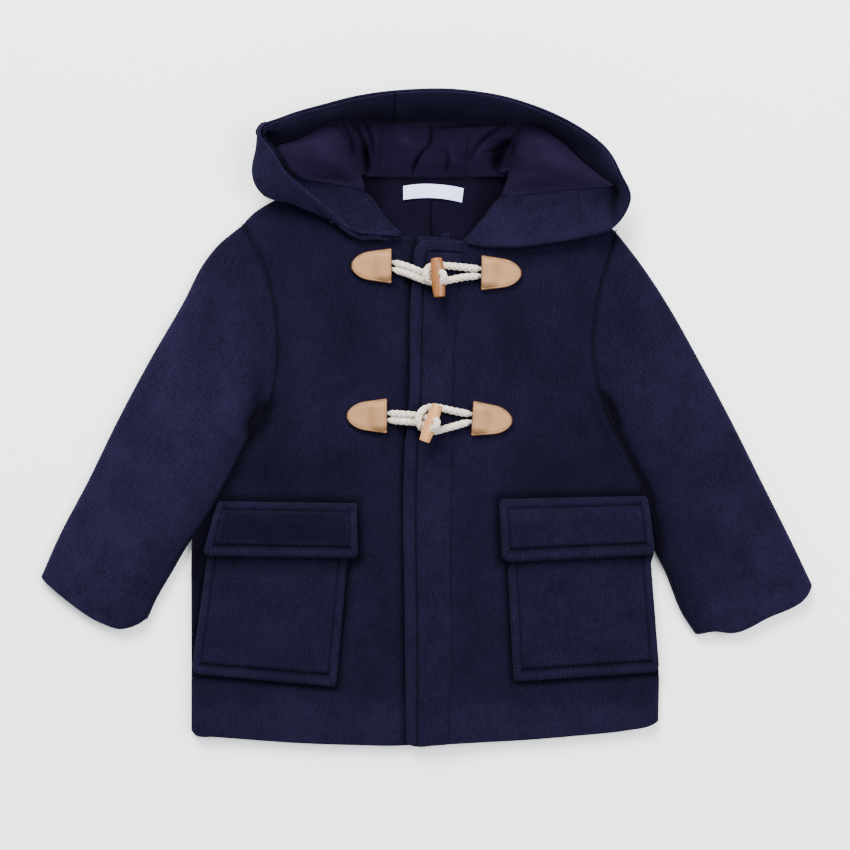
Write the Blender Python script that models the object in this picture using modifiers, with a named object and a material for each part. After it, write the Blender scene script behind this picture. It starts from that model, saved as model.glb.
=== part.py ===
"""Toddler's hooded duffle coat of heavy wool, lying on its back with the hood open upwards.

Plan sizes and heights are in millimetres. +X is the wearer's left, +Y is towards the
hood and +Z is up from the surface that the coat lies on.
"""

import math

import bmesh
import bpy
import numpy as np

MM = 0.001  # metres in a millimetre

# Cloth and clearances
BODY_WALL = 2.4  # wool with its lining, fronts and back
SLEEVE_WALL = 3.0  # with its lining
PLACKET_WALL = 2.8  # folded double
POCKET_WALL = 2.4
FLAP_WALL = 2.6
SHELL_WALL = 2.0  # hood outer cloth
FACING_WALL = 1.8
LINING_WALL = 1.6
NECK_WALL = 1.2  # lining inside the back neck
LABEL_WALL = 0.5
PATCH_WALL = 1.6
GAP = 0.3  # between pieces that touch
SEAM = 1.0  # opening along a sewn seam between round-edged pieces

# Heights above the surface
BODY_TOP = 8.1  # outer face of the fronts over the flat back
SEAM_LOW = 4.2  # top of the back's rolled edge at side and shoulder seams
SEAM_HIGH = 5.0  # start of the fronts' rolled edge
ROLL = 4.5  # how far in from a seam the cloth rolls over
ROLL_STEPS = (0.0, 0.01, 0.094, 0.3, 1.0)  # shares of it that carry a row of points
WELT = 0.6  # extra height of the seam allowance along the sides
WELT_REACH = 14.0
PLACKET_STEP = 0.7  # rise of the wearer's left front where the placket is sewn on
PLACKET_TOP = BODY_TOP + GAP + PLACKET_WALL
POCKET_PUFF = 1.6

# Toggle fastening
CORD_RADIUS = 2.6
TOGGLE_LENGTH = 29.0
TOGGLE_RADIUS = 5.2
TOGGLE_END_RADIUS = 4.1
PATCH_LENGTH = 29.5
PATCH_WIDTH = 26.0
PATCH_ARCH = 3.5  # rise of its straight edge over the cord ends
SEWN_LENGTH = 5.0  # of each cord end under its patch

# The coat's box is centred on the origin by this shift of the drawing's own zero
SHIFT_X = 0.25
SHIFT_Y = 2.9

COLLECTION = "duffle_coat"
CUTTERS = "cutters"


def table(names, *rows):
    """A table's columns by name."""
    values = np.array(rows, dtype=float)
    return {name: values[:, k] for k, name in enumerate(names.split())}


# Plan outlines, from the hem upwards or from the shoulder tip outwards
SIDE_RIGHT = table(
    "x y",
    (-177, -234), (-177, -187), (-175.5, -137), (-172.5, -107), (-168, -89),
    (-160.5, -71), (-146, -46), (-133, -17.5), (-122, -2.5), (-117.5, 15),
    (-113, 40), (-112.5, 56), (-114.5, 82), (-119, 101), (-126, 121), (-139, 143.5),
)
SIDE_LEFT = table(
    "x y",
    (170, -232), (174, -187), (170.5, -137), (168.5, -100), (166, -77),
    (161.5, -47), (150, -25), (137, -2), (129.5, 17), (126, 37),
    (125, 55), (127, 78), (131, 100), (137, 119), (142, 138.5),
)
HEM_RIGHT = table(
    "x y",
    (-177, -234), (-169, -239.5), (-138, -242), (-95, -245), (-50, -246.5), (-28, -247), (16, -245),
)
HEM_LEFT = table(
    "x y",
    (17.5, -245.5), (41, -244.5), (70, -243), (112, -239.5), (150, -236), (163, -235), (170, -232),
)
HEM_PLACKET = table("x y", (-15.3, -245), (-9, -247), (5, -246.5), (17, -245.5))
SHOULDER_RIGHT = table(
    "x y", (-139, 143.5), (-131, 152), (-119, 160), (-103, 167), (-76.5, 175), (-49, 181),
)
SHOULDER_LEFT = table(
    "x y", (53, 181), (70, 177), (92, 170), (115, 158.5), (133, 146), (142, 138.5),
)
NECK_RIGHT = table("x y", (-49, 181), (-46, 167.5), (-34.5, 150.5), (-22, 136), (-19, 130.5))
NECK_LEFT = table("x y", (28.5, 130), (29.5, 136), (41, 150), (51.5, 164.5), (53, 181))
BACK_NECK_Y = 180.4
PLACKET_FOLD = table(
    "x y", (-15.3, -245), (-16.5, -149), (-16, -17.5), (-13.5, 10), (-12, 89), (-9, 130),
)
PLACKET_SEAM = table(
    "x y",
    (17, -245.5), (19, -181), (18, -116), (19, -35), (19.5, 23), (21, 61), (23, 94), (28, 129.5),
)

# Sleeves: the armhole edge is shared with the body, then outer fold, inner fold and cuff
OUTER_RIGHT = table(
    "x y", (-139, 143.5), (-157.5, 128), (-168, 114.5), (-182, 87.5), (-208, 42.5),
    (-232, -2.5), (-254, -47.5), (-277.5, -92.5), (-290, -121),
)
INNER_RIGHT = table(
    "x y", (-121.8, -2.1), (-135.5, -15.5), (-149.5, -44.5), (-166, -76), (-178.5, -95),
    (-192, -118), (-203, -137), (-210, -152.5),
)
CUFF_RIGHT = table(
    "x y", (-290, -121), (-271, -137.5), (-243, -155.5), (-229.5, -159.5), (-219, -157), (-210, -152.5),
)
OUTER_LEFT = table(
    "x y", (142, 138.5), (160.5, 114.5), (178.5, 87.5), (204, 42.5), (228, -2.5),
    (250.5, -47.5), (273, -92.5), (289.5, -127),
)
INNER_LEFT = table(
    "x y", (137.8, -3.6), (152, -25), (163.5, -47.5), (168.3, -77.5), (172, -101.5), (178, -114.5),
    (192, -149), (202, -164),
)
CUFF_LEFT = table(
    "x y", (289.5, -127), (284, -136), (256, -151), (230, -162.5), (214, -161.5), (202, -164),
)
UNDERARM = 0.617  # where the underarm is, as a share of the side from hem to shoulder tip
ARMHOLE_STEPS = 8
# Sleeve tube from armhole to cuff: height of its top, and how far in its folds roll
SLEEVE = table(
    "at top roll",
    (0.0, 8.3, 3.8), (0.06, 9.2, 4.8), (0.25, 9.9, 6.0), (0.8, 9.8, 6.0), (1.0, 9.0, 5.0),
)
FOLD_SHARE = 0.45  # height of a sleeve's folds as a share of its top

# Pockets by corner: bottom outer, bottom inner, top inner, top outer
POCKET_BAG = {
    "right": table("x y", (-173.5, -192.5), (-68.5, -202.5), (-60.5, -75.0), (-161.0, -73.5)),
    "left": table("x y", (174.0, -191.0), (65.0, -198.5), (58.5, -72.0), (164.5, -69.5)),
}
POCKET_FLAP = {
    "right": table("x y", (-167.5, -104.0), (-51.5, -106.0), (-52.5, -65.0), (-156.5, -63.5)),
    "left": table("x y", (168.8, -102.5), (56.5, -109.0), (54.0, -62.0), (164.8, -59.5)),
}
FLAP_RAMP = 0.25  # share of the flap's drop over which it climbs onto the bag

# Hood sections, from the wearer's right front, round the top, to the left front.
# rim: edge of the hood opening; seam: where the facing meets the lining;
# crest: height of the padded lining; throat: its inner edge; neck: the shell's inner edge
HOOD = table(
    "rim_x rim_y rim_z seam_x seam_y seam_z crest throat_x throat_y throat_z neck_x neck_y",
    (-27.5, 132.4, 11.8, -24, 135.5, 11.4, 11.4, -24, 135.5, 11.4, -22, 137.3),
    (-38, 135.7, 13.4, -28, 141, 11.5, 11.5, -28, 141, 11.5, -26, 142.2),
    (-52, 140.5, 16.6, -36.2, 149.5, 11.7, 11.7, -36.2, 149.5, 11.7, -33.9, 150.8),
    (-69.7, 150.2, 22, -47, 166, 12.4, 12.4, -47, 166, 12.4, -44.4, 166.8),
    (-87.7, 164.5, 29, -70.3, 174.6, 20, 18, -47.4, 174.5, 14.2, -46.5, 175.5),
    (-103.2, 178.8, 32, -93.8, 178, 24, 29, -49.6, 180.8, 12.8, -42, 181.8),
    (-113, 191.3, 34, -106.5, 187, 24, 32, -52.4, 188, 12.2, -38, 181.8),
    (-122, 208.8, 36, -111, 198.5, 22, 33, -54.6, 196.5, 12.8, -35, 181.8),
    (-101.5, 221, 37, -95, 208, 20, 32, -55, 201.5, 14.2, -32, 181.8),
    (-75, 228, 38, -77, 217, 18, 29, -55.5, 207.5, 17.3, -30, 181.8),
    (-50, 234.4, 38, -55, 220, 16, 22, -53.5, 213.5, 20.5, -28, 181.8),
    (-24, 238.3, 38, -28.3, 219.5, 14.5, 14, -28, 200, 9, -26, 181.8),
    (10, 239.8, 38, 10, 220.7, 14, 14, 10, 200, 9, 8, 181.8),
    (39, 237.4, 38, 39.5, 218.5, 14, 14, 40, 200, 9, 30, 181.8),
    (63, 232.4, 38, 63, 216, 15, 18, 61, 209, 16, 34, 181.8),
    (89.5, 222.6, 38, 82, 213.5, 17, 22, 61.8, 206.5, 16, 37, 181.8),
    (115.2, 209.3, 37, 99.5, 202.5, 19, 30, 60.8, 201, 14.5, 40, 181.8),
    (133, 195.1, 35, 115.5, 188, 20, 32, 59, 195, 13, 43, 181.8),
    (143, 177.3, 32, 130, 177, 21, 32, 58, 189, 12.4, 46, 181.8),
    (150.2, 159.5, 25, 137, 169, 22, 31, 57, 184, 12.4, 50, 181.8),
    (137.5, 142.5, 19, 122.5, 167.6, 22.5, 30, 56, 179.5, 13.4, 52, 179),
    (113.8, 136.8, 17, 102.3, 167.1, 22.5, 28, 55.5, 175, 13.8, 52.5, 175),
    (91.2, 133.5, 16, 84.2, 165.7, 21, 25, 54.7, 170.5, 14.2, 52.5, 170.5),
    (69.5, 131, 15.4, 66.9, 165, 18, 19, 53.6, 166.5, 14.2, 52, 166.5),
    (54.5, 130.1, 13, 53.4, 162.6, 12.4, 12.4, 53.4, 162.6, 12.4, 50.9, 163.8),
    (42, 130.5, 12.4, 42.4, 148.8, 11.7, 11.7, 42.4, 148.8, 11.7, 40.2, 150.2),
    (33.5, 131.2, 12, 31.4, 135.3, 11.5, 11.5, 31.4, 135.3, 11.5, 29.4, 137),
)
# The rim curls over along the wearer's right: outermost point of the roll, by hood section
CURL = table(
    "section x y z",
    (1, -38.5, 134.5, 13), (2, -55, 138, 14), (3, -76, 146, 15.8), (4, -98.8, 157.8, 18),
    (5, -120, 165, 21), (6, -127.6, 184, 25), (7, -125.5, 206, 31),
)
LAST_SECTION = len(HOOD["crest"]) - 1
CENTRE_FROM = 11.0  # hood section at the right seam of the centre panel
CENTRE_TO = 14.0
FACING_STEP = 0.13  # in sections: the facing's seams lie this far from the shell's
LINING_RIGHT = (3.3, 10.05)
LINING_LEFT = (14.55, 23.7)
SECTION_GAP = 0.008  # in sections, about 0.25 mm
RIM_GAP = 0.15  # from the middle of the hood's wall to each of its two layers, at the rim
LAYER_GAP = 0.8  # and further in
RIM_SHARE = 0.2  # share of the wall over which the layers part
WALL_SAG = 0.07  # sag of the wall between rim and lining, as a share of its width
LIFT_REACH = 12.0  # how far past the shoulder the hood takes to come down to the surface

CENTRE_LINING_TOP = table(
    "x y", (-57, 216), (-28.5, 216.6), (10, 217.6), (39.5, 215.6), (64, 211),
)
CENTRE_LINING_LOW = table("x y", (-41.4, 180), (-22, 179.2), (24, 179.2), (48, 180))
CENTRE_FOLDS = table(
    "x lean width depth",
    (-38, 4, 5, 1.4), (-7, 9, 3.5, 2.2), (13, 2, 4, 1.6), (28, 3, 4, 1.2), (48, -6, 5, 1.8),
)


# ---------------------------------------------------------------- curves and fields

def run_of(columns):
    """Distance along a table's plan points, from 0 to 1."""
    steps = np.hypot(np.diff(columns["x"]), np.diff(columns["y"]))
    run = np.concatenate([[0.0], np.cumsum(steps)])
    return run / run[-1]


def smooth(knots, values, at):
    """A cubic through the values at the knots."""
    at = np.asarray(at, dtype=float)
    slopes = np.gradient(values, knots)
    k = np.clip(np.searchsorted(knots, at, side="right") - 1, 0, len(knots) - 2)
    span = knots[k + 1] - knots[k]
    s = (at - knots[k]) / span
    keep = (1 + 2 * s) * (1 - s) ** 2
    rise = s * (1 - s) ** 2 * span
    fall = s**2 * (s - 1) * span
    return keep * values[k] + (1 - keep) * values[k + 1] + rise * slopes[k] + fall * slopes[k + 1]


def outline(columns):
    """The plan curve of a table: 0 to 1 gives points (x, y)."""
    run = run_of(columns)
    return lambda at: np.stack([smooth(run, columns["x"], at), smooth(run, columns["y"], at)], axis=-1)


def joined(*parts):
    """Tables end to end, with the repeated corner points dropped."""
    first = parts[0]
    x, y = list(first["x"]), list(first["y"])
    for part in parts[1:]:
        x += list(part["x"][1:])
        y += list(part["y"][1:])
    return {"x": np.array(x), "y": np.array(y)}


def moved(columns, dx, dy=0.0):
    return {"x": columns["x"] + dx, "y": columns["y"] + dy}


def plan(low, high, start, end, across, up):
    """Plan points of the patch between four edge curves, over a grid of across by up."""
    u, v = np.meshgrid(across, up)
    u3, v3 = u[..., None], v[..., None]
    corners = (1 - u3) * (1 - v3) * low(0.0) + u3 * (1 - v3) * low(1.0)
    corners += (1 - u3) * v3 * high(0.0) + u3 * v3 * high(1.0)
    return (1 - v3) * low(u) + v3 * high(u) + (1 - u3) * start(v) + u3 * end(v) - corners


def with_height(points, height):
    return np.concatenate([points, height[..., None]], axis=-1)


def roll(t):
    """Quarter-round rise: 0 with an upright start, 1 from t = 1 on."""
    t = np.clip(t, 0.0, 1.0)
    return np.sqrt(1 - (1 - t) ** 2)


def ease(t):
    t = np.clip(t, 0.0, 1.0)
    return t * t * (3 - 2 * t)


def edge_stops(reach, width, both=False, inner=6):
    """Grid stops that crowd into the rolled edges of a piece of this width."""
    stops = [step * reach / width for step in ROLL_STEPS]
    far = 1 - stops[-1] if both else 1.0
    middle = list(np.linspace(stops[-1], far, inner + 1)[1:])
    ending = [1 - s for s in reversed(stops[:-1])] if both else []
    return np.array(stops + middle + ending)


def side_distance(x, y):
    """Distance in from the nearer side seam or armhole, along X."""
    right = x - np.interp(y, SIDE_RIGHT["y"], SIDE_RIGHT["x"])
    left = np.interp(y, SIDE_LEFT["y"], SIDE_LEFT["x"]) - x
    return np.minimum(right, left)


def shoulder_distance(x, y):
    """Distance down from the shoulder seam or the back neck, along Y."""
    line = joined(SHOULDER_RIGHT, SHOULDER_LEFT)
    return np.interp(x, line["x"], line["y"]) - y


def beside_armhole(y):
    """1 along the armholes, 0 along the side seams."""
    return ease((y + 25.0) / 30.0)


def beside_neck(x):
    """1 along the neck, 0 along the shoulder seams."""
    return ease(np.minimum(x - SHOULDER_RIGHT["x"][-1] + 2, SHOULDER_LEFT["x"][0] + 2 - x) / 4.0)


def crown(x, y):
    """Height of the fronts before they roll down at their seams."""
    seam_x = np.interp(y, PLACKET_SEAM["y"], PLACKET_SEAM["x"])
    step = np.where(x > seam_x, PLACKET_STEP * np.exp(-np.abs(x - seam_x) / 18.0), 0.0)
    welt = WELT * np.exp(-((side_distance(x, y) / WELT_REACH) ** 2)) * (1 - beside_armhole(y))
    return BODY_TOP + step + welt


def front_height(spot, from_side, from_top):
    """Outer face of a front: it rolls down at its side and shoulder seams."""
    x, y = spot[..., 0], spot[..., 1]
    armhole, neck = beside_armhole(y), beside_neck(x)
    inward, downward = roll(from_side / ROLL), roll(from_top / ROLL)
    side = (1 - armhole) * inward + armhole * (0.6 + 0.4 * inward)
    top = (1 - neck) * downward + neck
    return SEAM_HIGH + (crown(x, y) - SEAM_HIGH) * side * top


def back_height(spot, from_side, from_top):
    """Outer face of the back, which curls up to its side and shoulder seams."""
    x, y = spot[..., 0], spot[..., 1]
    side = (1 - roll(from_side / ROLL)) * (1 - beside_armhole(y))
    top = (1 - roll(from_top / ROLL)) * (1 - beside_neck(x))
    return SEAM_LOW * np.maximum(side, top)


def hood_rest(x, y):
    """Underside of the hood: over the shoulders it lies on the fronts, past them on the surface."""
    past = np.clip(-shoulder_distance(x, y), 0.0, None)
    on_body = crown(x, y) + 2 * GAP
    beyond = on_body * (1 - ease((past - 2.0) / LIFT_REACH))
    inside = ease((np.minimum(x - SHOULDER_RIGHT["x"][-1], SHOULDER_LEFT["x"][0] - x) + 3.0) / 5.0)
    return np.where(past > 0, beyond * (1 - inside), on_body)


# ---------------------------------------------------------------- Blender objects

def clear_scene():
    for obj in list(bpy.data.objects):
        bpy.data.objects.remove(obj, do_unlink=True)


def new_collection(name):
    collection = bpy.data.collections.new(name)
    bpy.context.scene.collection.children.link(collection)
    return collection


def material(name, colour, roughness, metallic=0.0):
    mat = bpy.data.materials.new(name)
    mat.use_nodes = True
    shader = mat.node_tree.nodes["Principled BSDF"]
    shader.inputs["Base Color"].default_value = (*colour, 1.0)
    shader.inputs["Roughness"].default_value = roughness
    shader.inputs["Metallic"].default_value = metallic
    mat.diffuse_color = (*colour, 1.0)
    return mat


def add_object(name, data, mat, collection, parent):
    obj = bpy.data.objects.new(name, data)
    obj.data.materials.append(mat)
    obj.parent = parent
    collection.objects.link(obj)
    return obj


class Coat:
    """Where the pieces go and what they are made of."""

    def __init__(self):
        self.collection = new_collection(COLLECTION)
        self.cutters = new_collection(CUTTERS)
        self.cutters.hide_render = True
        self.root = bpy.data.objects.new("coat_origin", None)
        self.root.location = (SHIFT_X * MM, SHIFT_Y * MM, 0.0)
        self.collection.objects.link(self.root)
        self.wool = material("wool", (0.014, 0.016, 0.042), 0.9)
        self.lining = material("lining", (0.012, 0.008, 0.030), 0.6)
        self.leather = material("leather", (0.55, 0.37, 0.24), 0.55)
        self.cord = material("cord", (0.62, 0.58, 0.53), 0.85)
        self.wood = material("wood", (0.50, 0.25, 0.11), 0.5)
        self.label = material("label", (0.70, 0.72, 0.76), 0.6)

    def sheet(self, name, points, wall, mat, ring=False, faces_down=False):
        """Cloth through a grid of points on its outer face, with its wall on the inner side."""
        rows, columns = points.shape[:2]
        index = np.arange(rows * columns).reshape(rows, columns)
        ahead = np.roll(index, -1, axis=1) if ring else index[:, 1:]
        here = index if ring else index[:, :-1]
        quads = np.stack([here[:-1], ahead[:-1], ahead[1:], here[1:]], axis=-1).reshape(-1, 4)
        if faces_down:
            quads = quads[:, ::-1]
        mesh = bpy.data.meshes.new(name)
        mesh.from_pydata((points.reshape(-1, 3) * MM).tolist(), [], quads.tolist())
        mesh.shade_smooth()
        obj = add_object(name, mesh, mat, self.collection, self.root)
        thick = obj.modifiers.new("wall", "SOLIDIFY")
        thick.thickness = wall * MM
        thick.offset = -1.0
        thick.use_quality_normals = True
        return obj

    def tube(self, name, route, radius, mat, ends=1.0):
        """A cord along a route of points, its two sewn ends narrowed to a share of its radius."""
        data = bpy.data.curves.new(name, "CURVE")
        data.dimensions = "3D"
        data.bevel_depth = radius * MM
        data.bevel_resolution = 2
        data.use_fill_caps = True
        spline = data.splines.new("POLY")
        spline.points.add(len(route) - 1)
        run = np.concatenate([[0.0], np.cumsum(np.linalg.norm(np.diff(route, axis=0), axis=1))])
        from_end = np.minimum(run, run[-1] - run)
        share = ends + (1 - ends) * ease((from_end - SEWN_LENGTH) / SEWN_LENGTH)
        for k, place in enumerate(route):
            spline.points[k].co = (*(place * MM), 1.0)
            spline.points[k].radius = share[k]
        return add_object(name, data, mat, self.collection, self.root)


# ---------------------------------------------------------------- body

def armhole(side):
    """The armhole from the shoulder tip down, as a stretch of a side's outline."""
    return lambda at: side(1 - at * (1 - UNDERARM))


def make_body(coat):
    width, length = 165.0, 390.0
    across = edge_stops(ROLL, width)
    below = np.linspace(0, UNDERARM, 7)[:-1]
    beside = 1 - np.linspace(1, 1 / ARMHOLE_STEPS, ARMHOLE_STEPS) * (1 - UNDERARM)
    top_roll = 1 - np.array(ROLL_STEPS[::-1]) * ROLL / length
    up = np.concatenate([below, beside, top_roll])
    u, v = np.meshgrid(across, up)

    side = outline(SIDE_RIGHT)
    under = outline(moved(PLACKET_SEAM, -1.2, 0.5))
    top = outline(joined(SHOULDER_RIGHT, NECK_RIGHT, table("x y", (-19, 130.5), (26.8, 130))))
    spot = plan(outline(HEM_RIGHT), top, side, under, across, up)
    height = front_height(spot, u * width, (1 - v) * length)
    coat.sheet("front_right", with_height(spot, height), BODY_WALL, coat.wool)

    across = 1 - across[::-1]
    u, v = np.meshgrid(across, up)
    seam = outline(moved(PLACKET_SEAM, 0.5))
    top = outline(joined(NECK_LEFT, SHOULDER_LEFT))
    spot = plan(outline(HEM_LEFT), top, seam, outline(SIDE_LEFT), across, up)
    height = front_height(spot, (1 - u) * width, (1 - v) * length)
    coat.sheet("front_left", with_height(spot, height), BODY_WALL, coat.wool)

    width = 345.0
    across = edge_stops(ROLL, width, both=True, inner=8)
    u, v = np.meshgrid(across, up)
    hem = outline(joined(moved(HEM_RIGHT, 0, 1.5), moved(HEM_LEFT, 0, 1.5)))
    neck = table("x y", (-49, 181), (-44, BACK_NECK_Y), (48, BACK_NECK_Y), (53, 181))
    top = outline(joined(SHOULDER_RIGHT, neck, SHOULDER_LEFT))
    spot = plan(hem, top, side, outline(SIDE_LEFT), across, up)
    height = back_height(spot, np.minimum(u, 1 - u) * width, (1 - v) * length)
    coat.sheet("back_panel", with_height(spot, height), BODY_WALL, coat.wool, faces_down=True)

    across = np.linspace(0, 1, 4)
    up = np.linspace(0, 1, 18)
    top = outline(table("x y", (-9, 130), (10, 130.3), (28, 129.5)))
    fold = outline(PLACKET_FOLD)
    spot = plan(outline(HEM_PLACKET), top, fold, outline(PLACKET_SEAM), across, up)
    height = np.full(spot.shape[:2], PLACKET_TOP)
    coat.sheet("placket", with_height(spot, height), PLACKET_WALL, coat.wool)


def make_sleeve(coat, name, top_edge, outer, inner, cuff, facing_down):
    """A flattened tube: its top from outer to inner fold, then its underside back again."""
    length = 300.0
    rows = np.concatenate([[SEAM / length, 0.05], np.linspace(0.12, 1.0, 10)])
    fold_stops = np.array([0.0, 0.29, 1.0])
    middle = np.linspace(1, ARMHOLE_STEPS - 1, ARMHOLE_STEPS - 1) / ARMHOLE_STEPS
    rings = []
    for at in rows:
        reach = smooth(SLEEVE["at"], SLEEVE["roll"], at)
        height = smooth(SLEEVE["at"], SLEEVE["top"], at)
        fold = FOLD_SHARE * height
        width = np.linalg.norm(outer(at) - inner(at))
        near = fold_stops * reach / width
        stops = np.concatenate([near, middle, 1 - near[::-1]])
        spot = plan(top_edge, cuff, outer, inner, stops, np.array([at]))[0]
        rise = roll(np.minimum(stops, 1 - stops) * width / reach)
        over = with_height(spot, fold + (height - fold) * rise)
        beneath = with_height(spot, fold * (1 - rise))
        rings.append(np.concatenate([over, beneath[-2:0:-1]]))
    coat.sheet(name, np.array(rings), SLEEVE_WALL, coat.wool, ring=True, faces_down=facing_down)


def make_sleeves(coat):
    make_sleeve(coat, "sleeve_right", armhole(outline(SIDE_RIGHT)), outline(OUTER_RIGHT),
                outline(INNER_RIGHT), outline(CUFF_RIGHT), True)
    make_sleeve(coat, "sleeve_left", armhole(outline(SIDE_LEFT)), outline(OUTER_LEFT),
                outline(INNER_LEFT), outline(CUFF_LEFT), False)


# ---------------------------------------------------------------- pockets

def corner_patch(corners, across, up):
    """Plan points between four corners: bottom outer, bottom inner, top inner, top outer."""
    place = np.stack([corners["x"], corners["y"]], axis=-1)
    u, v = np.meshgrid(across, up)
    u3, v3 = u[..., None], v[..., None]
    low = place[0] * (1 - u3) + place[1] * u3
    high = place[3] * (1 - u3) + place[2] * u3
    return low * (1 - v3) + high * v3, u, v


def make_pocket(coat, side, mirrored):
    spot, u, v = corner_patch(POCKET_BAG[side], np.linspace(0, 1, 9), np.linspace(0, 1, 9))
    puff = POCKET_PUFF * np.sqrt(np.sin(math.pi * u) * np.sin(math.pi * v))
    height = crown(spot[..., 0], spot[..., 1]) + GAP + POCKET_WALL + puff
    coat.sheet(f"pocket_{side}", with_height(spot, height), POCKET_WALL, coat.wool, faces_down=mirrored)

    spot, u, v = corner_patch(POCKET_FLAP[side], np.linspace(0, 1, 9), np.linspace(0, 1, 6))
    climb = (POCKET_WALL + GAP + POCKET_PUFF) * ease((1 - v) / FLAP_RAMP)
    height = crown(spot[..., 0], spot[..., 1]) + GAP + FLAP_WALL + climb
    coat.sheet(f"flap_{side}", with_height(spot, height), FLAP_WALL, coat.wool, faces_down=mirrored)


# ---------------------------------------------------------------- hood

def hood_at(section, *names):
    """Smooth values of the hood's columns at sections counted from 0."""
    knots = np.arange(LAST_SECTION + 1.0)
    return np.stack([smooth(knots, HOOD[name], section) for name in names], axis=-1)


def curl_share(section):
    """How far the rim is curled over: 1 along the wearer's right, 0 from its ends on."""
    return ease((section - 0.75) / 0.9) * ease((7.6 - section) / 0.9)


def wall_point(section, at):
    """Middle of the hood's double wall, at 0 on the rim to 1 on the lining seam."""
    rim = hood_at(section, "rim_x", "rim_y", "rim_z")
    seam = hood_at(section, "seam_x", "seam_y", "seam_z")
    sag = np.linalg.norm(seam - rim, axis=-1)[..., None] * np.array([0, 0, WALL_SAG])
    first = rim + (seam - rim) * 0.33 - sag * 0.8
    second = rim + (seam - rim) * 0.66 - sag
    turn = np.interp(section, CURL["section"], CURL["z"])
    fold = np.stack([smooth(CURL["section"], CURL[name], section) for name in ("x", "y", "z")], axis=-1)
    curled = curl_share(section)
    first = first + (fold - first) * curled[..., None]
    under = rim * 0.8 + fold * 0.2
    under[..., 2] = np.minimum(turn - 1.5, rim[..., 2] - 6.0)
    under[..., 2] = np.maximum(under[..., 2], 0.35 * seam[..., 2] + 0.65 * under[..., 2])
    second = second + (under - second) * curled[..., None]
    stops = np.array([0.0, 0.33, 0.66, 1.0])
    rows = np.stack([rim, first, second, seam])
    slopes = np.stack([first - rim, (second - rim) / 2, (seam - first) / 2, seam - second])
    k = np.clip(np.searchsorted(stops, at, side="right") - 1, 0, 2)
    s = ((at - stops[k]) / (stops[k + 1] - stops[k]))[..., None]
    here, ahead = k[None, ..., None], k[None, ..., None] + 1
    keep = (1 + 2 * s) * (1 - s) ** 2
    point = keep * np.take_along_axis(rows, here, axis=0)[0]
    point += (1 - keep) * np.take_along_axis(rows, ahead, axis=0)[0]
    point += s * (1 - s) ** 2 * np.take_along_axis(slopes, here, axis=0)[0]
    point += s**2 * (s - 1) * np.take_along_axis(slopes, ahead, axis=0)[0]
    return point


def wall_normal(section, at):
    """Unit direction from the wall's middle towards the inside of the hood."""
    step = 0.02
    low, high = np.clip(at - step, 0, 1), np.clip(at + step, 0, 1)
    inward = wall_point(section, high) - wall_point(section, low)
    before = np.clip(section - 0.05, 0, LAST_SECTION)
    after = np.clip(section + 0.05, 0, LAST_SECTION)
    along = wall_point(after, at) - wall_point(before, at)
    normal = np.cross(inward, along)
    return normal / np.linalg.norm(normal, axis=-1, keepdims=True)


def layer_gap(at):
    return RIM_GAP + (LAYER_GAP - RIM_GAP) * ease(at / RIM_SHARE)[..., None]


def make_shell(coat, name, start, end, sections):
    """Outer cloth: round the wall's outer side, then flat under the hood to the neck."""
    section, at = np.meshgrid(np.linspace(start, end, sections), np.linspace(0, 1, 9), indexing="ij")
    outer = wall_point(section, at) - wall_normal(section, at) * (SHELL_WALL + layer_gap(at))
    floor = hood_rest(outer[..., 0], outer[..., 1])
    outer[..., 2] = np.maximum(outer[..., 2], floor)
    stops = np.array([0.15, 0.3, 0.45, 0.6, 0.8, 1.0])
    section, at = np.meshgrid(np.linspace(start, end, sections), stops, indexing="ij")
    neck = hood_at(section, "neck_x", "neck_y")
    seam = outer[:, -1:, :]
    spot = seam[..., :2] + (neck - seam[..., :2]) * at[..., None]
    floor = hood_rest(spot[..., 0], spot[..., 1])
    height = floor + (seam[..., 2] - hood_rest(seam[..., 0], seam[..., 1])) * (1 - ease(at / 0.6))
    points = np.concatenate([outer, with_height(spot, height)], axis=1)
    coat.sheet(name, points, SHELL_WALL, coat.wool, faces_down=True)


def above_shell(points, wall):
    """Lifts points that would dip into the hood's outer cloth."""
    low = hood_rest(points[..., 0], points[..., 1]) + SHELL_WALL + wall + 4 * GAP
    lifted = points.copy()
    lifted[..., 2] = np.maximum(points[..., 2], low)
    return lifted


def make_facing(coat, name, start, end, sections):
    """Band of the outer cloth inside the rim, from the rim to the lining."""
    stops = np.linspace(0, 1, 5)
    section, share = np.meshgrid(np.linspace(start, end, sections), stops, indexing="ij")
    hidden = 0.62 * curl_share(section)
    at = hidden + (0.985 - hidden) * share
    points = wall_point(section, at) + wall_normal(section, at) * (FACING_WALL + layer_gap(at))
    coat.sheet(name, above_shell(points, FACING_WALL), FACING_WALL, coat.wool)


def make_hood_lining(coat, name, start, end, sections):
    """Padded lining: from the facing over its crest and down to the throat."""
    section, at = np.meshgrid(np.linspace(start, end, sections), np.linspace(0, 1, 8), indexing="ij")
    edge = np.ones_like(at)
    seam = wall_point(section, edge) + wall_normal(section, edge) * (FACING_WALL + LAYER_GAP)
    throat = hood_at(section, "throat_x", "throat_y", "throat_z")
    length = np.linalg.norm((throat - seam)[..., :2], axis=-1)
    at = at + (1 - at) * np.minimum(0.4 / length, 0.2)
    crest = hood_at(section, "crest")[..., 0]
    spot = seam + (throat - seam) * at[..., None]
    level = seam[..., 2] + (throat[..., 2] - seam[..., 2]) * at**3
    puff = (crest - 0.5 * (seam[..., 2] + throat[..., 2])) * np.sin(math.pi * at**1.2) ** 0.7
    spot[..., 2] = level + np.maximum(puff, 0.0)
    coat.sheet(name, above_shell(spot, LINING_WALL), LINING_WALL, coat.lining)


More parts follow.
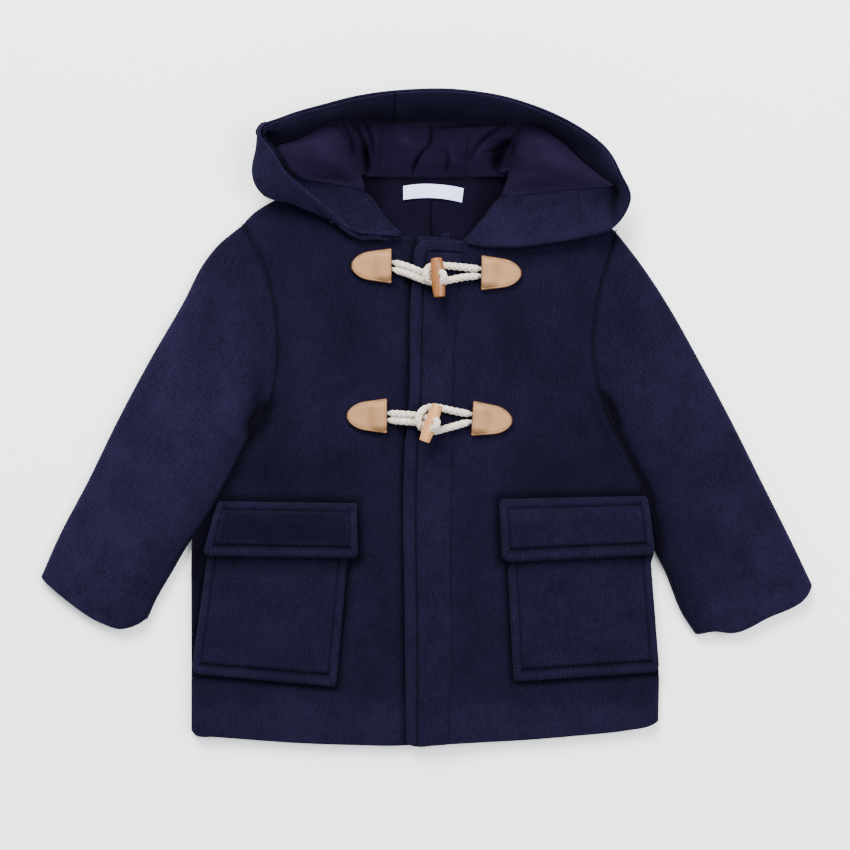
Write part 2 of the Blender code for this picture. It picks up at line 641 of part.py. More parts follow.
def make_centre_lining(coat):
    """Lining of the hood's centre, gathered into a few folds above the back neck."""
    start = table("x y", (-41.4, 180), (-51.8, 194), (-56.5, 205), (-57, 216))
    end = table("x y", (48, 180), (56.5, 192), (61.5, 202), (64, 211))
    across, up = np.linspace(0, 1, 25), np.linspace(0.01, 0.985, 6)
    low, high = outline(CENTRE_LINING_LOW), outline(CENTRE_LINING_TOP)
    spot = plan(low, high, outline(start), outline(end), across, up)
    x, y = spot[..., 0], spot[..., 1]
    share = np.clip((y - 179) / 38, 0.0, 1.0)
    height = 6.2 + 10.0 * share**1.3 + 2.5 * share**2 * ((x - 4) / 62) ** 2
    height = height + 4.3 * np.exp(-(((x + 47) / 7) ** 2) - (((y - 184.5) / 6) ** 2))
    for k in range(len(CENTRE_FOLDS["x"])):
        offset = x - CENTRE_FOLDS["x"][k] - CENTRE_FOLDS["lean"][k] * share
        bump = np.exp(-((offset / CENTRE_FOLDS["width"][k]) ** 2))
        height = height + CENTRE_FOLDS["depth"][k] * bump * np.sin(math.pi * np.clip(share, 0, 1))
    past_seam = np.stack([x, np.maximum(y, BACK_NECK_Y + 3), height], axis=-1)
    height = above_shell(past_seam, LINING_WALL)[..., 2]
    coat.sheet("hood_lining_centre", with_height(spot, height), LINING_WALL, coat.lining)


def make_hood(coat):
    make_shell(coat, "hood_side_right", 0.0, CENTRE_FROM - SECTION_GAP, 20)
    make_shell(coat, "hood_centre", CENTRE_FROM + SECTION_GAP, CENTRE_TO - SECTION_GAP, 4)
    make_shell(coat, "hood_side_left", CENTRE_TO + SECTION_GAP, LAST_SECTION, 19)
    first, second = CENTRE_FROM + FACING_STEP, CENTRE_TO - FACING_STEP
    make_facing(coat, "hood_facing_right", 0.0, first - SECTION_GAP, 20)
    make_facing(coat, "hood_facing_centre", first + SECTION_GAP, second - SECTION_GAP, 4)
    make_facing(coat, "hood_facing_left", second + SECTION_GAP, LAST_SECTION, 19)
    make_hood_lining(coat, "hood_lining_right", *LINING_RIGHT, 11)
    make_hood_lining(coat, "hood_lining_left", *LINING_LEFT, 12)
    make_centre_lining(coat)


# ---------------------------------------------------------------- back neck

def flat_piece(coat, name, corners, across, up, base, wall, mat):
    spot, _, _ = corner_patch(corners, np.linspace(0, 1, across), np.linspace(0, 1, up))
    height = np.full(spot.shape[:2], base + wall)
    coat.sheet(name, with_height(spot, height), wall, mat)


def make_neck(coat):
    """What shows inside the neck: the back's lining, a plain label and a small loop."""
    base = BODY_WALL + GAP
    low, high = table("x y", (-26, 127), (35, 127)), table("x y", (-43, 179.2), (47, 179.2))
    start = table("x y", (-26, 127), (-41, 150), (-49, 163), (-48, 170), (-43, 179.2))
    end = table("x y", (35, 127), (46, 148), (54, 164), (53, 170), (47, 179.2))
    sides = [outline(side) for side in (low, high, start, end)]
    spot = plan(*sides, np.linspace(0, 1, 5), np.linspace(0, 1, 9))
    height = np.full(spot.shape[:2], base + NECK_WALL)
    coat.sheet("back_neck_lining", with_height(spot, height), NECK_WALL, coat.lining)
    base += NECK_WALL + GAP
    label = table("x y", (-18, 162.5), (26, 160.5), (27.5, 172), (-18, 173))
    flat_piece(coat, "neck_label", label, 5, 2, base, LABEL_WALL, coat.label)
    tab = table("x y", (10.5, 131.8), (17.5, 131.8), (17.5, 137.5), (10.5, 137.5))
    flat_piece(coat, "neck_tab", tab, 2, 2, base, LABEL_WALL, coat.wool)


# ---------------------------------------------------------------- toggles

STRAND = PLACKET_TOP + GAP + CORD_RADIUS  # axis of a cord that lies on the placket
SEWN = BODY_TOP + 2 * GAP + 0.55 * CORD_RADIUS  # axis of a flattened cord end under its patch
TOGGLE_AXIS = PLACKET_TOP + 11.4
PAIR_HALF = 2.8  # half the distance between the two strands of a pair
HOLE_HALF = 3.0  # half the distance between the toggle's two holes
# Cord routes: plan points and height above the axis of a strand that lies on the placket
FASTENINGS = (
    {
        "number": 1, "centre": (8.1, 103.0), "lean": 4.5, "sides": 20,
        "patches": (("right", (-26.6, 112.6), 180.0), ("left", (40.6, 107.4), -1.0)),
        "pair": table(
            "x y rise",
            (-31, 113.7, -9), (-26.4, 112.9, -9), (-20, 111, -2.6), (-13, 108.6, -0.2),
            (-6.5, 105.9, 0), (-1.0, 103.9, 1.2),
        ),
        "loop": table(
            "x y rise",
            (45.5, 110.3, -9), (40.8, 110.4, -9), (34.5, 110.7, -2.6), (27, 111.3, -0.4),
            (14, 112.2, 0), (6.5, 112.8, 0.2), (1.0, 112.3, 2.3), (-2.7, 109.2, 6.0),
            (-4.1, 104.0, 6.7), (-2.8, 98.2, 6.0), (0.8, 94.9, 2.3), (6.5, 94.6, 0.2),
            (13.5, 98.0, 0), (27, 102.8, -0.4), (34.5, 104.4, -2.6), (40.8, 104.9, -9),
            (45.5, 104.8, -9),
        ),
    },
    {
        "number": 2, "centre": (2.9, -5.0), "lean": -20.0, "sides": 8,
        "patches": (("right", (-30.0, 0.4), 180.0), ("left", (33.8, -1.4), -4.0)),
        "pair": table(
            "x y rise",
            (-34.6, 0.3, -9), (-29.8, -0.1, -9), (-23.5, -0.6, -2.6), (-17, -1.1, -0.2),
            (-10.5, -1.6, 0), (-5.0, -2.6, 1.2),
        ),
        "loop": table(
            "x y rise",
            (38.6, 1.4, -9), (34.0, 1.6, -9), (28, 2.5, -2.6), (20.5, 3.9, -0.3),
            (13, 5.3, 0), (6.0, 7.0, 0.2), (-0.6, 6.6, 2.3), (-5.8, 3.4, 6.0),
            (-8.2, -1.6, 6.7), (-8.2, -7.4, 6.0), (-5.6, -12.2, 2.3), (-0.6, -14.0, 0.2),
            (6.0, -12.2, 0), (13, -9.8, 0), (20.5, -7.4, -0.3), (27.5, -5.2, -2.6),
            (33.8, -4.0, -9), (38.4, -3.9, -9),
        ),
    },
)


def turned(local, fastening):
    """Toggle coordinates (across, along its axis) to plan."""
    angle = math.radians(fastening["lean"])
    x, y = local
    sine, cosine = math.sin(angle), math.cos(angle)
    cx, cy = fastening["centre"]
    return (cx + x * cosine - y * sine, cy + x * sine + y * cosine)


def smooth_route(points, step):
    """Evenly spaced points on the smooth curve through a route."""
    points = np.array(points, dtype=float)
    run = np.concatenate([[0.0], np.cumsum(np.linalg.norm(np.diff(points, axis=0), axis=1))])
    at = np.linspace(0, run[-1], max(3, int(round(run[-1] / step)) + 1))
    return np.stack([smooth(run, points[:, k], at) for k in range(3)], axis=-1)


def cord_points(columns, dy=0.0):
    """Points of a route, whose sewn ends lie on the body under their patch."""
    height = np.maximum(STRAND + columns["rise"], SEWN)
    return list(zip(columns["x"], columns["y"] + dy, height))


def toggle_cord_route(fastening):
    """Out from under the patch, up through one hole, along the toggle and back through the other."""
    upper = cord_points(fastening["pair"], PAIR_HALF)
    lower = cord_points(fastening["pair"], -PAIR_HALF)
    through = [
        (-3.6, HOLE_HALF, -3.6), (0.0, HOLE_HALF, 0.2), (3.2, HOLE_HALF, 3.9), (4.3, 1.2, 5.2),
        (4.3, -1.2, 5.2), (3.2, -HOLE_HALF, 3.9), (0.0, -HOLE_HALF, 0.2), (-3.6, -HOLE_HALF, -3.6),
    ]
    middle = [(*turned((x, y), fastening), TOGGLE_AXIS + z) for x, y, z in through]
    return smooth_route(upper + middle + lower[::-1], 2.6)


def loop_cord_route(fastening):
    """From the other patch, under the toggle, round it over the pair, and back."""
    return smooth_route(cord_points(fastening["loop"]), 4.0)


def make_patch(coat, name, edge, angle):
    """A leather shield sewn over the cord ends, its straight edge towards the toggle."""
    stops = np.array([0, 0.12, 0.25, 0.45, 0.65, 0.8, 0.9, 0.965, 1.0])
    s, w = np.meshgrid(stops, np.linspace(-1, 1, 9), indexing="ij")
    tip = np.clip((s - 0.55) / 0.45, 0.0, 1.0)
    half = PATCH_WIDTH / 2 * (1 - 0.32 * s) * np.sqrt(1 - tip**2.2)
    half = np.maximum(half, 2.0)
    along, off = s * PATCH_LENGTH, w * half
    turn = math.radians(angle)
    x = edge[0] + along * math.cos(turn) - off * math.sin(turn)
    y = edge[1] + along * math.sin(turn) + off * math.cos(turn)
    spot = np.stack([x, y], axis=-1)
    arch = (1 - ease((along - SEWN_LENGTH - 1) / 9.0)) * (1 - ease((np.abs(off) - 6.5) / 5.0))
    height = crown(x, y) + GAP + PATCH_WALL + PATCH_ARCH * arch
    coat.sheet(name, with_height(spot, height), PATCH_WALL, coat.leather)


def mesh_of(obj, name, collection, parent):
    """The object's evaluated surface as a mesh object of its own; the object is removed."""
    graph = bpy.context.evaluated_depsgraph_get()
    mesh = bpy.data.meshes.new_from_object(obj.evaluated_get(graph))
    made = bpy.data.objects.new(name, mesh)
    collection.objects.link(made)
    made.parent = parent
    bpy.data.objects.remove(obj, do_unlink=True)
    return made


def weld(obj):
    cage = bmesh.new()
    cage.from_mesh(obj.data)
    bmesh.ops.remove_doubles(cage, verts=cage.verts, dist=0.00001)
    bmesh.ops.recalc_face_normals(cage, faces=cage.faces)
    cage.to_mesh(obj.data)
    cage.free()


def make_toggle(coat, fastening, route):
    """A turned wooden barrel with two holes for its cord and a groove between them."""
    name = f"toggle_{fastening['number']}"
    half = TOGGLE_LENGTH / 2
    profile = [
        (0.0, half), (TOGGLE_END_RADIUS - 0.8, half), (TOGGLE_END_RADIUS, half - 0.8),
        (4.9, half * 0.45), (TOGGLE_RADIUS, 0.0), (4.9, -half * 0.45),
        (TOGGLE_END_RADIUS, 0.8 - half), (TOGGLE_END_RADIUS - 0.8, -half), (0.0, -half),
    ]
    mesh = bpy.data.meshes.new(name)
    edges = [(k, k + 1) for k in range(len(profile) - 1)]
    mesh.from_pydata([(r * MM, 0.0, z * MM) for r, z in profile], edges, [])
    obj = add_object(name, mesh, coat.wood, coat.collection, coat.root)
    obj.rotation_euler = (math.radians(-90), 0.0, math.radians(fastening["lean"]))
    cx, cy = fastening["centre"]
    obj.location = (cx * MM, cy * MM, TOGGLE_AXIS * MM)
    spin = obj.modifiers.new("turned", "SCREW")
    spin.steps = spin.render_steps = fastening["sides"]
    spin.use_merge_vertices = True
    spin.merge_threshold = 0.00001
    spin.use_smooth_shade = True
    groove = coat.tube(f"{name}_groove", route, CORD_RADIUS + GAP, coat.wood)
    cutter = mesh_of(groove, f"{name}_cutter", coat.cutters, coat.root)
    weld(cutter)
    cutter.hide_render = True
    cutter.display_type = "WIRE"
    cut = obj.modifiers.new("holes", "BOOLEAN")
    cut.operation = "DIFFERENCE"
    cut.object = cutter


def make_fastening(coat, fastening):
    number = fastening["number"]
    for side, edge, angle in fastening["patches"]:
        make_patch(coat, f"patch_{number}_{side}", edge, angle)
    route = toggle_cord_route(fastening)
    coat.tube(f"toggle_cord_{number}", route, CORD_RADIUS, coat.cord, ends=0.55)
    coat.tube(f"loop_cord_{number}", loop_cord_route(fastening), CORD_RADIUS, coat.cord, ends=0.55)
    make_toggle(coat, fastening, route)


def main():
    clear_scene()
    coat = Coat()
    make_body(coat)
    make_sleeves(coat)
    make_pocket(coat, "right", False)
    make_pocket(coat, "left", True)
    make_hood(coat)
    make_neck(coat)
    for fastening in FASTENINGS:
        make_fastening(coat, fastening)


main()
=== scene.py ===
"""Looks of a toddler's navy wool duffle coat that lies on its back: cloth, lining, cord, leather and wood.

Plan sizes and heights are in millimetres. +X is the wearer's left, +Y is towards the
hood and +Z is up from the surface that the coat lies on.
"""

import math

import bmesh
import bpy
import numpy as np
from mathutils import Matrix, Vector


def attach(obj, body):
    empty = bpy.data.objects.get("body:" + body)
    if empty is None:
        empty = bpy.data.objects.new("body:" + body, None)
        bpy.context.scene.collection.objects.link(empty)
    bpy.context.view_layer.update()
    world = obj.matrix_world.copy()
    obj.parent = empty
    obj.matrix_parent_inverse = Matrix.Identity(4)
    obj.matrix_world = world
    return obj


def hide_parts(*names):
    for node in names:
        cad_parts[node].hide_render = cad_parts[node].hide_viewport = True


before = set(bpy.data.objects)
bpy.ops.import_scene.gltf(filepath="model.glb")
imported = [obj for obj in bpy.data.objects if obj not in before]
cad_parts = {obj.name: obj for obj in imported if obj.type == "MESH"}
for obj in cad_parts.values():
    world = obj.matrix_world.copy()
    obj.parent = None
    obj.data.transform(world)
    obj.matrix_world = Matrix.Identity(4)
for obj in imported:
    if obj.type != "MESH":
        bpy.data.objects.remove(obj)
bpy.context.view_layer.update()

MM = 0.001  # metres in a millimetre

# Cloth and clearances
BODY_WALL = 2.4  # wool with its lining, fronts and back
SLEEVE_WALL = 3.0  # with its lining
PLACKET_WALL = 2.8  # folded double
POCKET_WALL = 2.4
FLAP_WALL = 2.6
SHELL_WALL = 2.0  # hood outer cloth
FACING_WALL = 1.8
LINING_WALL = 1.6
NECK_WALL = 1.2  # lining inside the back neck
LABEL_WALL = 0.5
PATCH_WALL = 1.6
GAP = 0.3  # between pieces that touch

# Heights above the surface
BODY_TOP = 8.1  # outer face of the fronts over the flat back
SEAM_LOW = 4.2  # top of the back's rolled edge at side and shoulder seams
SEAM_HIGH = 5.0  # start of the fronts' rolled edge
ROLL = 4.5  # how far in from a seam the cloth rolls over
WELT = 0.6  # extra height of the seam allowance along the sides
WELT_REACH = 14.0
PLACKET_STEP = 0.7  # rise of the wearer's left front where the placket is sewn on
FLUSH = 1.9  # the wearer's left front rises this much more, to be level with the placket
PLACKET_TOP = BODY_TOP + GAP + PLACKET_WALL
POCKET_PUFF = 1.6

# Toggle fastening
CORD_RADIUS = 2.6
TOGGLE_LENGTH = 29.0
TOGGLE_RADIUS = 5.2
TOGGLE_END_RADIUS = 4.1
PATCH_LENGTH = 29.5
PATCH_WIDTH = 26.0
PATCH_ARCH = 3.5  # rise of its straight edge over the cord ends
SEWN_LENGTH = 5.0  # of each cord end under its patch
PATCH_STITCH = 1.6  # from a patch's edge to its stitches
STITCH_LIFT = 0.33  # of these above the leather

# The coat's box is centred on the origin by this shift of the drawing's own zero
SHIFT_X = 0.25
SHIFT_Y = 2.9


def table(names, *rows):
    """A table's columns by name."""
    return dict(zip(names.split(), np.array(rows, dtype=float).T.copy()))


def path(*rows):
    """Plan points that follow each other."""
    return table("x y", *rows)


def folds(*rows):
    """Soft troughs and ridges, each from one plan point to another and bowed to its left."""
    return table("x0 y0 x1 y1 bow width depth", *rows)


# Plan outlines, from the hem upwards or from the shoulder tip outwards
SIDE_RIGHT = path(
    (-177, -236), (-177, -187), (-177, -137), (-177, -107), (-176, -90),
    (-167, -71), (-152.5, -46), (-138.5, -17.5), (-122.5, -2.2), (-117.5, 15),
    (-113, 40), (-112.5, 56), (-114.5, 82), (-119, 101), (-126, 121), (-139, 143.5),
)
SIDE_LEFT = path(
    (173.6, -229), (174, -187), (170, -150), (168.3, -130), (168, -113), (170.8, -99), (167.6, -78), (165.2, -61),
    (160, -47), (148.4, -25), (138, -2.4), (130, 17), (126, 37),
    (125, 55), (127, 78), (131, 100), (137, 119), (142, 138.5),
)
HEM_RIGHT = path(
    (-177, -236), (-173, -239.2), (-160, -240.3), (-138, -242), (-95, -245), (-50, -246.5), (-28, -247), (16, -245),
)
HEM_LEFT = path(
    (17.5, -245.5), (41, -244.5), (70, -243), (112, -239.5), (150, -235.5), (166, -232.5), (173.6, -229),
)
HEM_PLACKET = path((-15.3, -245), (-9, -247), (5, -246.5), (17, -245.5))
SHOULDER_RIGHT = path(
    (-139, 143.5), (-131, 152), (-119, 160), (-103, 167), (-76.5, 175), (-49, 181),
)
SHOULDER_LEFT = path(
    (53, 181), (70, 177), (92, 170), (115, 158.5), (133, 146), (142, 138.5),
)
# Upper edges of the fronts: shoulder and neck, most of them under the hood
FRONT_TOP_RIGHT = path(
    (-139, 143.5), (-131, 152), (-119, 160), (-103, 167), (-80, 172), (-64, 169.5), (-51, 160),
    (-38.5, 148), (-28, 139), (-18, 135.4), (-4, 134.9), (10, 134.2), (26.8, 131.5),
)
FRONT_TOP_LEFT = path(
    (26.5, 131), (34, 137), (45, 149), (57, 161), (70, 169.5), (82, 172), (95, 168.6), (115, 158.5),
    (133, 146), (142, 138.5),
)
BACK_NECK_Y = 180.4
PLACKET_FOLD = path(
    (-15.3, -245), (-16.5, -149), (-16, -17.5), (-13.5, 10), (-12, 89), (-9, 131.6),
)
PLACKET_SEAM = path(
    (17, -245.5), (19, -181), (18, -116), (19, -35), (19.5, 23), (21, 61), (23, 94), (28, 131),
)

# Sleeves: the armhole edge is shared with the body, then outer fold, inner fold and cuff
OUTER_RIGHT = path(
    (-139, 143.5), (-157.5, 128), (-168, 114.5), (-182, 87.5), (-208, 42.5),
    (-232, -2.5), (-254, -47.5), (-277.5, -92.5), (-290, -121),
)
INNER_RIGHT = path(
    (-121.8, -2.1), (-133.8, -16.6), (-148.4, -45.2), (-165.4, -76.4), (-178.5, -95),
    (-192, -118), (-203, -137), (-210, -152.5),
)
CUFF_RIGHT = path(
    (-290, -121), (-271, -137.5), (-243, -155.5), (-229.5, -159.5), (-219, -157), (-210, -152.5),
)
OUTER_LEFT = path(
    (142, 138.5), (160.5, 114.5), (178.5, 87.5), (204, 42.5), (228, -2.5),
    (250.5, -47.5), (273, -92.5), (289.5, -127),
)
INNER_LEFT = path(
    (137.8, -3.6), (147.2, -25), (158.6, -47.5), (166.2, -77.5), (171.2, -101.5), (177.6, -114.5),
    (192, -149), (202, -164),
)
CUFF_LEFT = path(
    (289.5, -127), (284, -136), (256, -151), (230, -162.5), (214, -161.5), (202, -164),
)
UNDERARM = {"right": 0.6227, "left": 0.6173}  # share of the side from hem to shoulder tip
# Sleeve tube from armhole to cuff: height of its top, and how far in its folds roll
SLEEVE = table(
    "at top roll",
    (0.0, 8.3, 3.8), (0.06, 9.2, 4.8), (0.25, 9.9, 6.0), (0.8, 9.8, 6.0), (1.0, 9.0, 5.0),
)
FOLD_SHARE = 0.45  # height of a sleeve's folds as a share of its top

# Pockets by corner: bottom outer, bottom inner, top inner, top outer
POCKET_BAG = {
    "right": path((-176.3, -192.5), (-68.0, -202.5), (-56.7, -75.0), (-160.1, -73.5)),
    "left": path((174.0, -191.0), (65.0, -198.5), (58.5, -72.0), (164.5, -69.5)),
}
POCKET_FLAP = {
    "right": path((-167.5, -104.0), (-51.5, -106.0), (-52.5, -65.0), (-156.5, -63.5)),
    "left": path((170.4, -103.2), (56.5, -109.0), (54.0, -62.0), (164.8, -59.5)),
}
FLAP_RAMP = 0.4  # share of the flap's drop over which it climbs onto the bag

# Hood sections, from the wearer's right front, round the top, to the left front.
# rim: edge of the hood opening; seam: where the facing meets the lining;
# crest: height of the padded lining; throat: its inner edge; neck: the shell's inner edge
HOOD = table(
    "rim_x rim_y rim_z seam_x seam_y seam_z crest throat_x throat_y throat_z neck_x neck_y",
    (-21.2, 135.9, 10.9, -18.3, 137, 11.4, 11.4, -18.3, 137.2, 11.4, -21, 138),
    (-38, 136.8, 11.1, -24.8, 142.2, 11.5, 11.5, -24.8, 142.2, 11.5, -28.2, 140.6),
    (-52.8, 139.2, 12.6, -32.8, 151.6, 11.7, 11.7, -32.8, 151.6, 11.7, -36.5, 150),
    (-69, 152.3, 18.5, -45.3, 167, 12.4, 12.4, -45.3, 167, 12.4, -49, 166),
    (-87.4, 166.5, 27.5, -69.5, 175, 20, 18, -46.4, 173, 14.2, -50, 174.5),
    (-103.2, 180.5, 32, -93.8, 178.8, 24, 29, -49.6, 180.8, 12.8, -49, 180.4),
    (-111.5, 193.5, 34, -106, 189, 24, 32, -52.4, 188, 12.2, -44.5, 180.8),
    (-121.6, 210.6, 36, -112.5, 200, 22, 33, -54.6, 196.5, 12.8, -38, 181.8),
    (-101.5, 221, 37, -96, 207.5, 20, 32, -55, 201.5, 14.2, -34, 181.8),
    (-75, 228, 38, -77, 220, 18, 29, -55.5, 207.5, 17.3, -30, 181.8),
    (-50, 234.4, 38, -55, 223, 16, 22, -53.5, 216, 20.0, -28, 181.8),
    (-24, 238.3, 38, -25, 220, 14.5, 14, -25, 200, 9, -26, 181.8),
    (10, 239.8, 38, 9, 221, 14, 14, 9, 200, 9, 8, 181.8),
    (39, 237.4, 38, 33, 217.6, 14, 14, 33, 200, 9, 30, 181.8),
    (63, 232.4, 38, 53, 217.2, 15, 18, 61, 212, 16, 34, 181.8),
    (89.5, 222.6, 38, 79.5, 219, 17, 22, 65, 207.5, 16, 37, 181.8),
    (115.2, 209.3, 37, 100.5, 206.6, 19, 30, 63, 201, 14.5, 42, 181.8),
    (133, 195.1, 35, 115.5, 191.6, 20, 32, 61.5, 195, 13, 48.5, 181),
    (143, 177.3, 32, 130, 180, 21, 32, 61, 189, 12.4, 53.5, 180.8),
    (150.2, 159.5, 25, 139, 171.6, 22, 31, 61, 184, 12.4, 61, 181),
    (138.5, 140.2, 19, 122.5, 169.4, 22.5, 30, 60.2, 179.5, 13.4, 62, 177.5),
    (113.8, 132.8, 17, 102.3, 168.6, 22.5, 28, 58.9, 175, 13.8, 61.2, 174.2),
    (91.2, 128.9, 16, 84.2, 167.2, 21, 25, 57.3, 170.5, 14.2, 60.5, 170.3),
    (69.5, 126.2, 15.4, 66.9, 166, 18, 19, 55.6, 167, 14.2, 59, 166.0),
    (54.5, 126.2, 13, 54.4, 163.4, 12.4, 12.4, 54.4, 163.4, 12.4, 57.6, 161.8),
    (41, 126.6, 12.4, 42.4, 148.8, 11.7, 11.7, 42.4, 148.8, 11.7, 46, 146.8),
    (29.5, 128.8, 12, 30, 134.6, 11.5, 11.5, 30, 134.6, 11.5, 33, 133.6),
)
# Along the wearer's right the rim is curled over: outermost point of the roll
CURL = table(
    "section x y z",
    (0, -21.3, 135.4, 10.2), (1, -38.3, 136.2, 10.4), (2, -53.8, 138, 11), (3, -73.2, 149.6, 14.4),
    (4, -97.8, 159.8, 18), (5, -119.5, 166, 21), (6, -127.2, 184, 25.5), (6.5, -124.2, 198.5, 28.5),
    (7, -122.2, 210.6, 29), (8, -101.5, 222, 30),
)
LAST_SECTION = len(HOOD["crest"]) - 1
CENTRE_FROM = 11.0  # hood section at the right seam of the centre panel
CENTRE_TO = 14.0
FACING_FROM, FACING_TO = 11.01, 14.1  # the same seams in the facing
LINING_RIGHT = (3.12, 10.05)
LINING_LEFT = (14.55, 23.86)
SECTION_LAP = 0.03  # in sections: neighbouring pieces of the hood run about 1 mm into each other
RIM_GAP = 0.15  # from the middle of the hood's wall to each of its two layers, at the rim
LAYER_GAP = 0.8  # and further in
RIM_SHARE = 0.2  # share of the wall over which the layers part
WALL_SAG = 0.07  # sag of the wall between rim and lining, as a share of its width
LIFT_REACH = 12.0  # how far past the shoulder the hood takes to come down to the surface

STRAND = PLACKET_TOP + GAP + CORD_RADIUS  # axis of a cord that lies on the placket
SEWN = BODY_TOP + 2 * GAP + 0.55 * CORD_RADIUS  # axis of a flattened cord end under its patch
TOGGLE_AXIS = PLACKET_TOP + 11.4
PAIR_HALF = 2.6  # half the distance between the two strands of a pair
HOLE_HALF = 3.0  # half the distance between the toggle's two holes
HOLE_ROOM = 0.12  # round the cord in its hole
ROUTE_STEP = 0.75  # between a cord's rings
# Toggles: centre in plan, lean in degrees, sides of the turned barrel and width of its rounded edge.
# Patches: side of the coat, middle of the straight edge, direction of the tip in degrees.
# Cord routes: plan points and height above the axis of a strand that lies on the placket.
FASTENINGS = (
    {
        "number": 1, "centre": (8.1, 103.0), "lean": 4.5, "sides": 72, "edge": 0.9,
        "patches": (("right", (-26.6, 112.6), 180.0), ("left", (40.6, 107.4), -1.0)),
        "pair": table(
            "x y rise",
            (-31, 113.7, -9), (-26.4, 112.9, -9), (-20, 111, -2.6), (-13, 108.6, -0.2),
            (-6.5, 105.9, 0), (-1.0, 103.9, 1.2),
        ),
        "loop": table(
            "x y rise",
            (45.5, 110.3, -9), (40.8, 110.4, -9), (34.5, 110.7, -2.6), (27, 111.3, -0.4),
            (14, 112.4, 0), (8, 112.6, 0.2), (3.4, 111.9, 2.3), (0.4, 109.4, 6.0),
            (-0.8, 106.0, 6.7), (0.2, 102.6, 6.0), (3.2, 100.3, 2.3), (8.5, 99.8, 0.2),
            (14.5, 101.2, 0), (27, 103.8, -0.4), (34.5, 104.8, -2.6), (40.8, 105.0, -9),
            (45.5, 104.8, -9),
        ),
    },
    {
        "number": 2, "centre": (2.9, -5.0), "lean": -20.0, "sides": 8, "edge": 0.45,
        "patches": (("right", (-30.0, 0.4), 180.0), ("left", (33.8, -1.4), -4.0)),
        "pair": table(
            "x y rise",
            (-34.6, 0.3, -9), (-29.8, -0.1, -9), (-23.5, -0.6, -2.6), (-17, -1.1, -0.2),
            (-10.5, -1.6, 0), (-5.0, -2.6, 1.2),
        ),
        "loop": table(
            "x y rise",
            (38.6, 1.4, -9), (34.0, 1.6, -9), (28, 2.5, -2.6), (20.5, 3.9, -0.3),
            (13, 5.6, 0), (6.6, 6.8, 0.2), (1.0, 6.4, 2.3), (-3.8, 3.8, 6.0),
            (-6.2, -0.4, 6.7), (-6.0, -5.0, 6.0), (-3.4, -9.0, 2.3), (1.4, -11.2, 0.2),
            (7.0, -10.8, 0), (13, -9.2, 0), (20.5, -7.2, -0.3), (27.5, -5.2, -2.6),
            (33.8, -4.0, -9), (38.4, -3.9, -9),
        ),
    },
)


# ---------------------------------------------------------------- curves and fields

def run_of(columns):
    """Distance along a table's plan points, from 0 to 1."""
    steps = np.hypot(np.diff(columns["x"]), np.diff(columns["y"]))
    run = np.concatenate([[0.0], np.cumsum(steps)])
    return run / run[-1]


def cubic(s, span, before, after, slope, next_slope):
    """A cubic from one value to the next with these slopes, at a share s of the span between them."""
    keep = (1 + 2 * s) * (1 - s) ** 2
    return (keep * before + (1 - keep) * after + s * (1 - s) ** 2 * span * slope
            + s**2 * (s - 1) * span * next_slope)


def smooth(knots, values, at):
    """A cubic through the values at the knots."""
    at = np.asarray(at, dtype=float)
    slopes = np.gradient(values, knots)
    k = np.clip(np.searchsorted(knots, at, side="right") - 1, 0, len(knots) - 2)
    span = knots[k + 1] - knots[k]
    return cubic((at - knots[k]) / span, span, values[k], values[k + 1], slopes[k], slopes[k + 1])


def outline(columns):
    """The plan curve of a table: 0 to 1 gives points (x, y)."""
    run = run_of(columns)
    return lambda at: np.stack([smooth(run, columns["x"], at), smooth(run, columns["y"], at)], axis=-1)


def joined(*parts):
    """Tables end to end, with the repeated corner points dropped."""
    return {axis: np.concatenate([parts[0][axis], *(part[axis][1:] for part in parts[1:])]) for axis in "xy"}


def moved(columns, dx, dy=0.0):
    """A table of plan points, shifted."""
    return {"x": columns["x"] + dx, "y": columns["y"] + dy}


def between(low, high, start, end, u, v):
    """Plan points of the patch between four edge curves, at shares u across and v up."""
    u3, v3 = u[..., None], v[..., None]
    corners = (1 - u3) * (1 - v3) * low(0.0) + u3 * (1 - v3) * low(1.0)
    corners += (1 - u3) * v3 * high(0.0) + u3 * v3 * high(1.0)
    return (1 - v3) * low(u) + v3 * high(u) + (1 - u3) * start(v) + u3 * end(v) - corners


def plan(low, high, start, end, across, up):
    """The same over a grid of across by up."""
    return between(low, high, start, end, *np.meshgrid(across, up))


def with_height(points, height):
    """Plan points with their heights."""
    return np.concatenate([points, height[..., None]], axis=-1)


def roll(t):
    """Quarter-round rise: 0 with an upright start, 1 from t = 1 on."""
    t = np.clip(t, 0.0, 1.0)
    return np.sqrt(1 - (1 - t) ** 2)


def ease(t):
    """Smooth step from 0 at t = 0 to 1 at t = 1."""
    t = np.clip(t, 0.0, 1.0)
    return t * t * (3 - 2 * t)


def bell(distance, width):
    """1 at no distance, falling off to either side over this width."""
    return np.exp(-((distance / width) ** 2))


def edge_x(columns, y):
    """Where an edge that runs up the coat lies at these heights."""
    return np.interp(y, columns["y"], columns["x"])


def side_distance(x, y):
    """Distance in from the nearer side seam or armhole, along X."""
    return np.minimum(x - edge_x(SIDE_RIGHT, y), edge_x(SIDE_LEFT, y) - x)


def shoulder_distance(x, y):
    """Distance down from the shoulder seam or the back neck, along Y."""
    line = joined(SHOULDER_RIGHT, SHOULDER_LEFT)
    return np.interp(x, line["x"], line["y"]) - y


def beside_armhole(y):
    """1 along the armholes, 0 along the side seams."""
    return ease((y + 25.0) / 30.0)


def beside_neck(x):
    """1 along the neck, 0 along the shoulder seams."""
    return ease(np.minimum(x - SHOULDER_RIGHT["x"][-1] + 2, SHOULDER_LEFT["x"][0] + 2 - x) / 4.0)


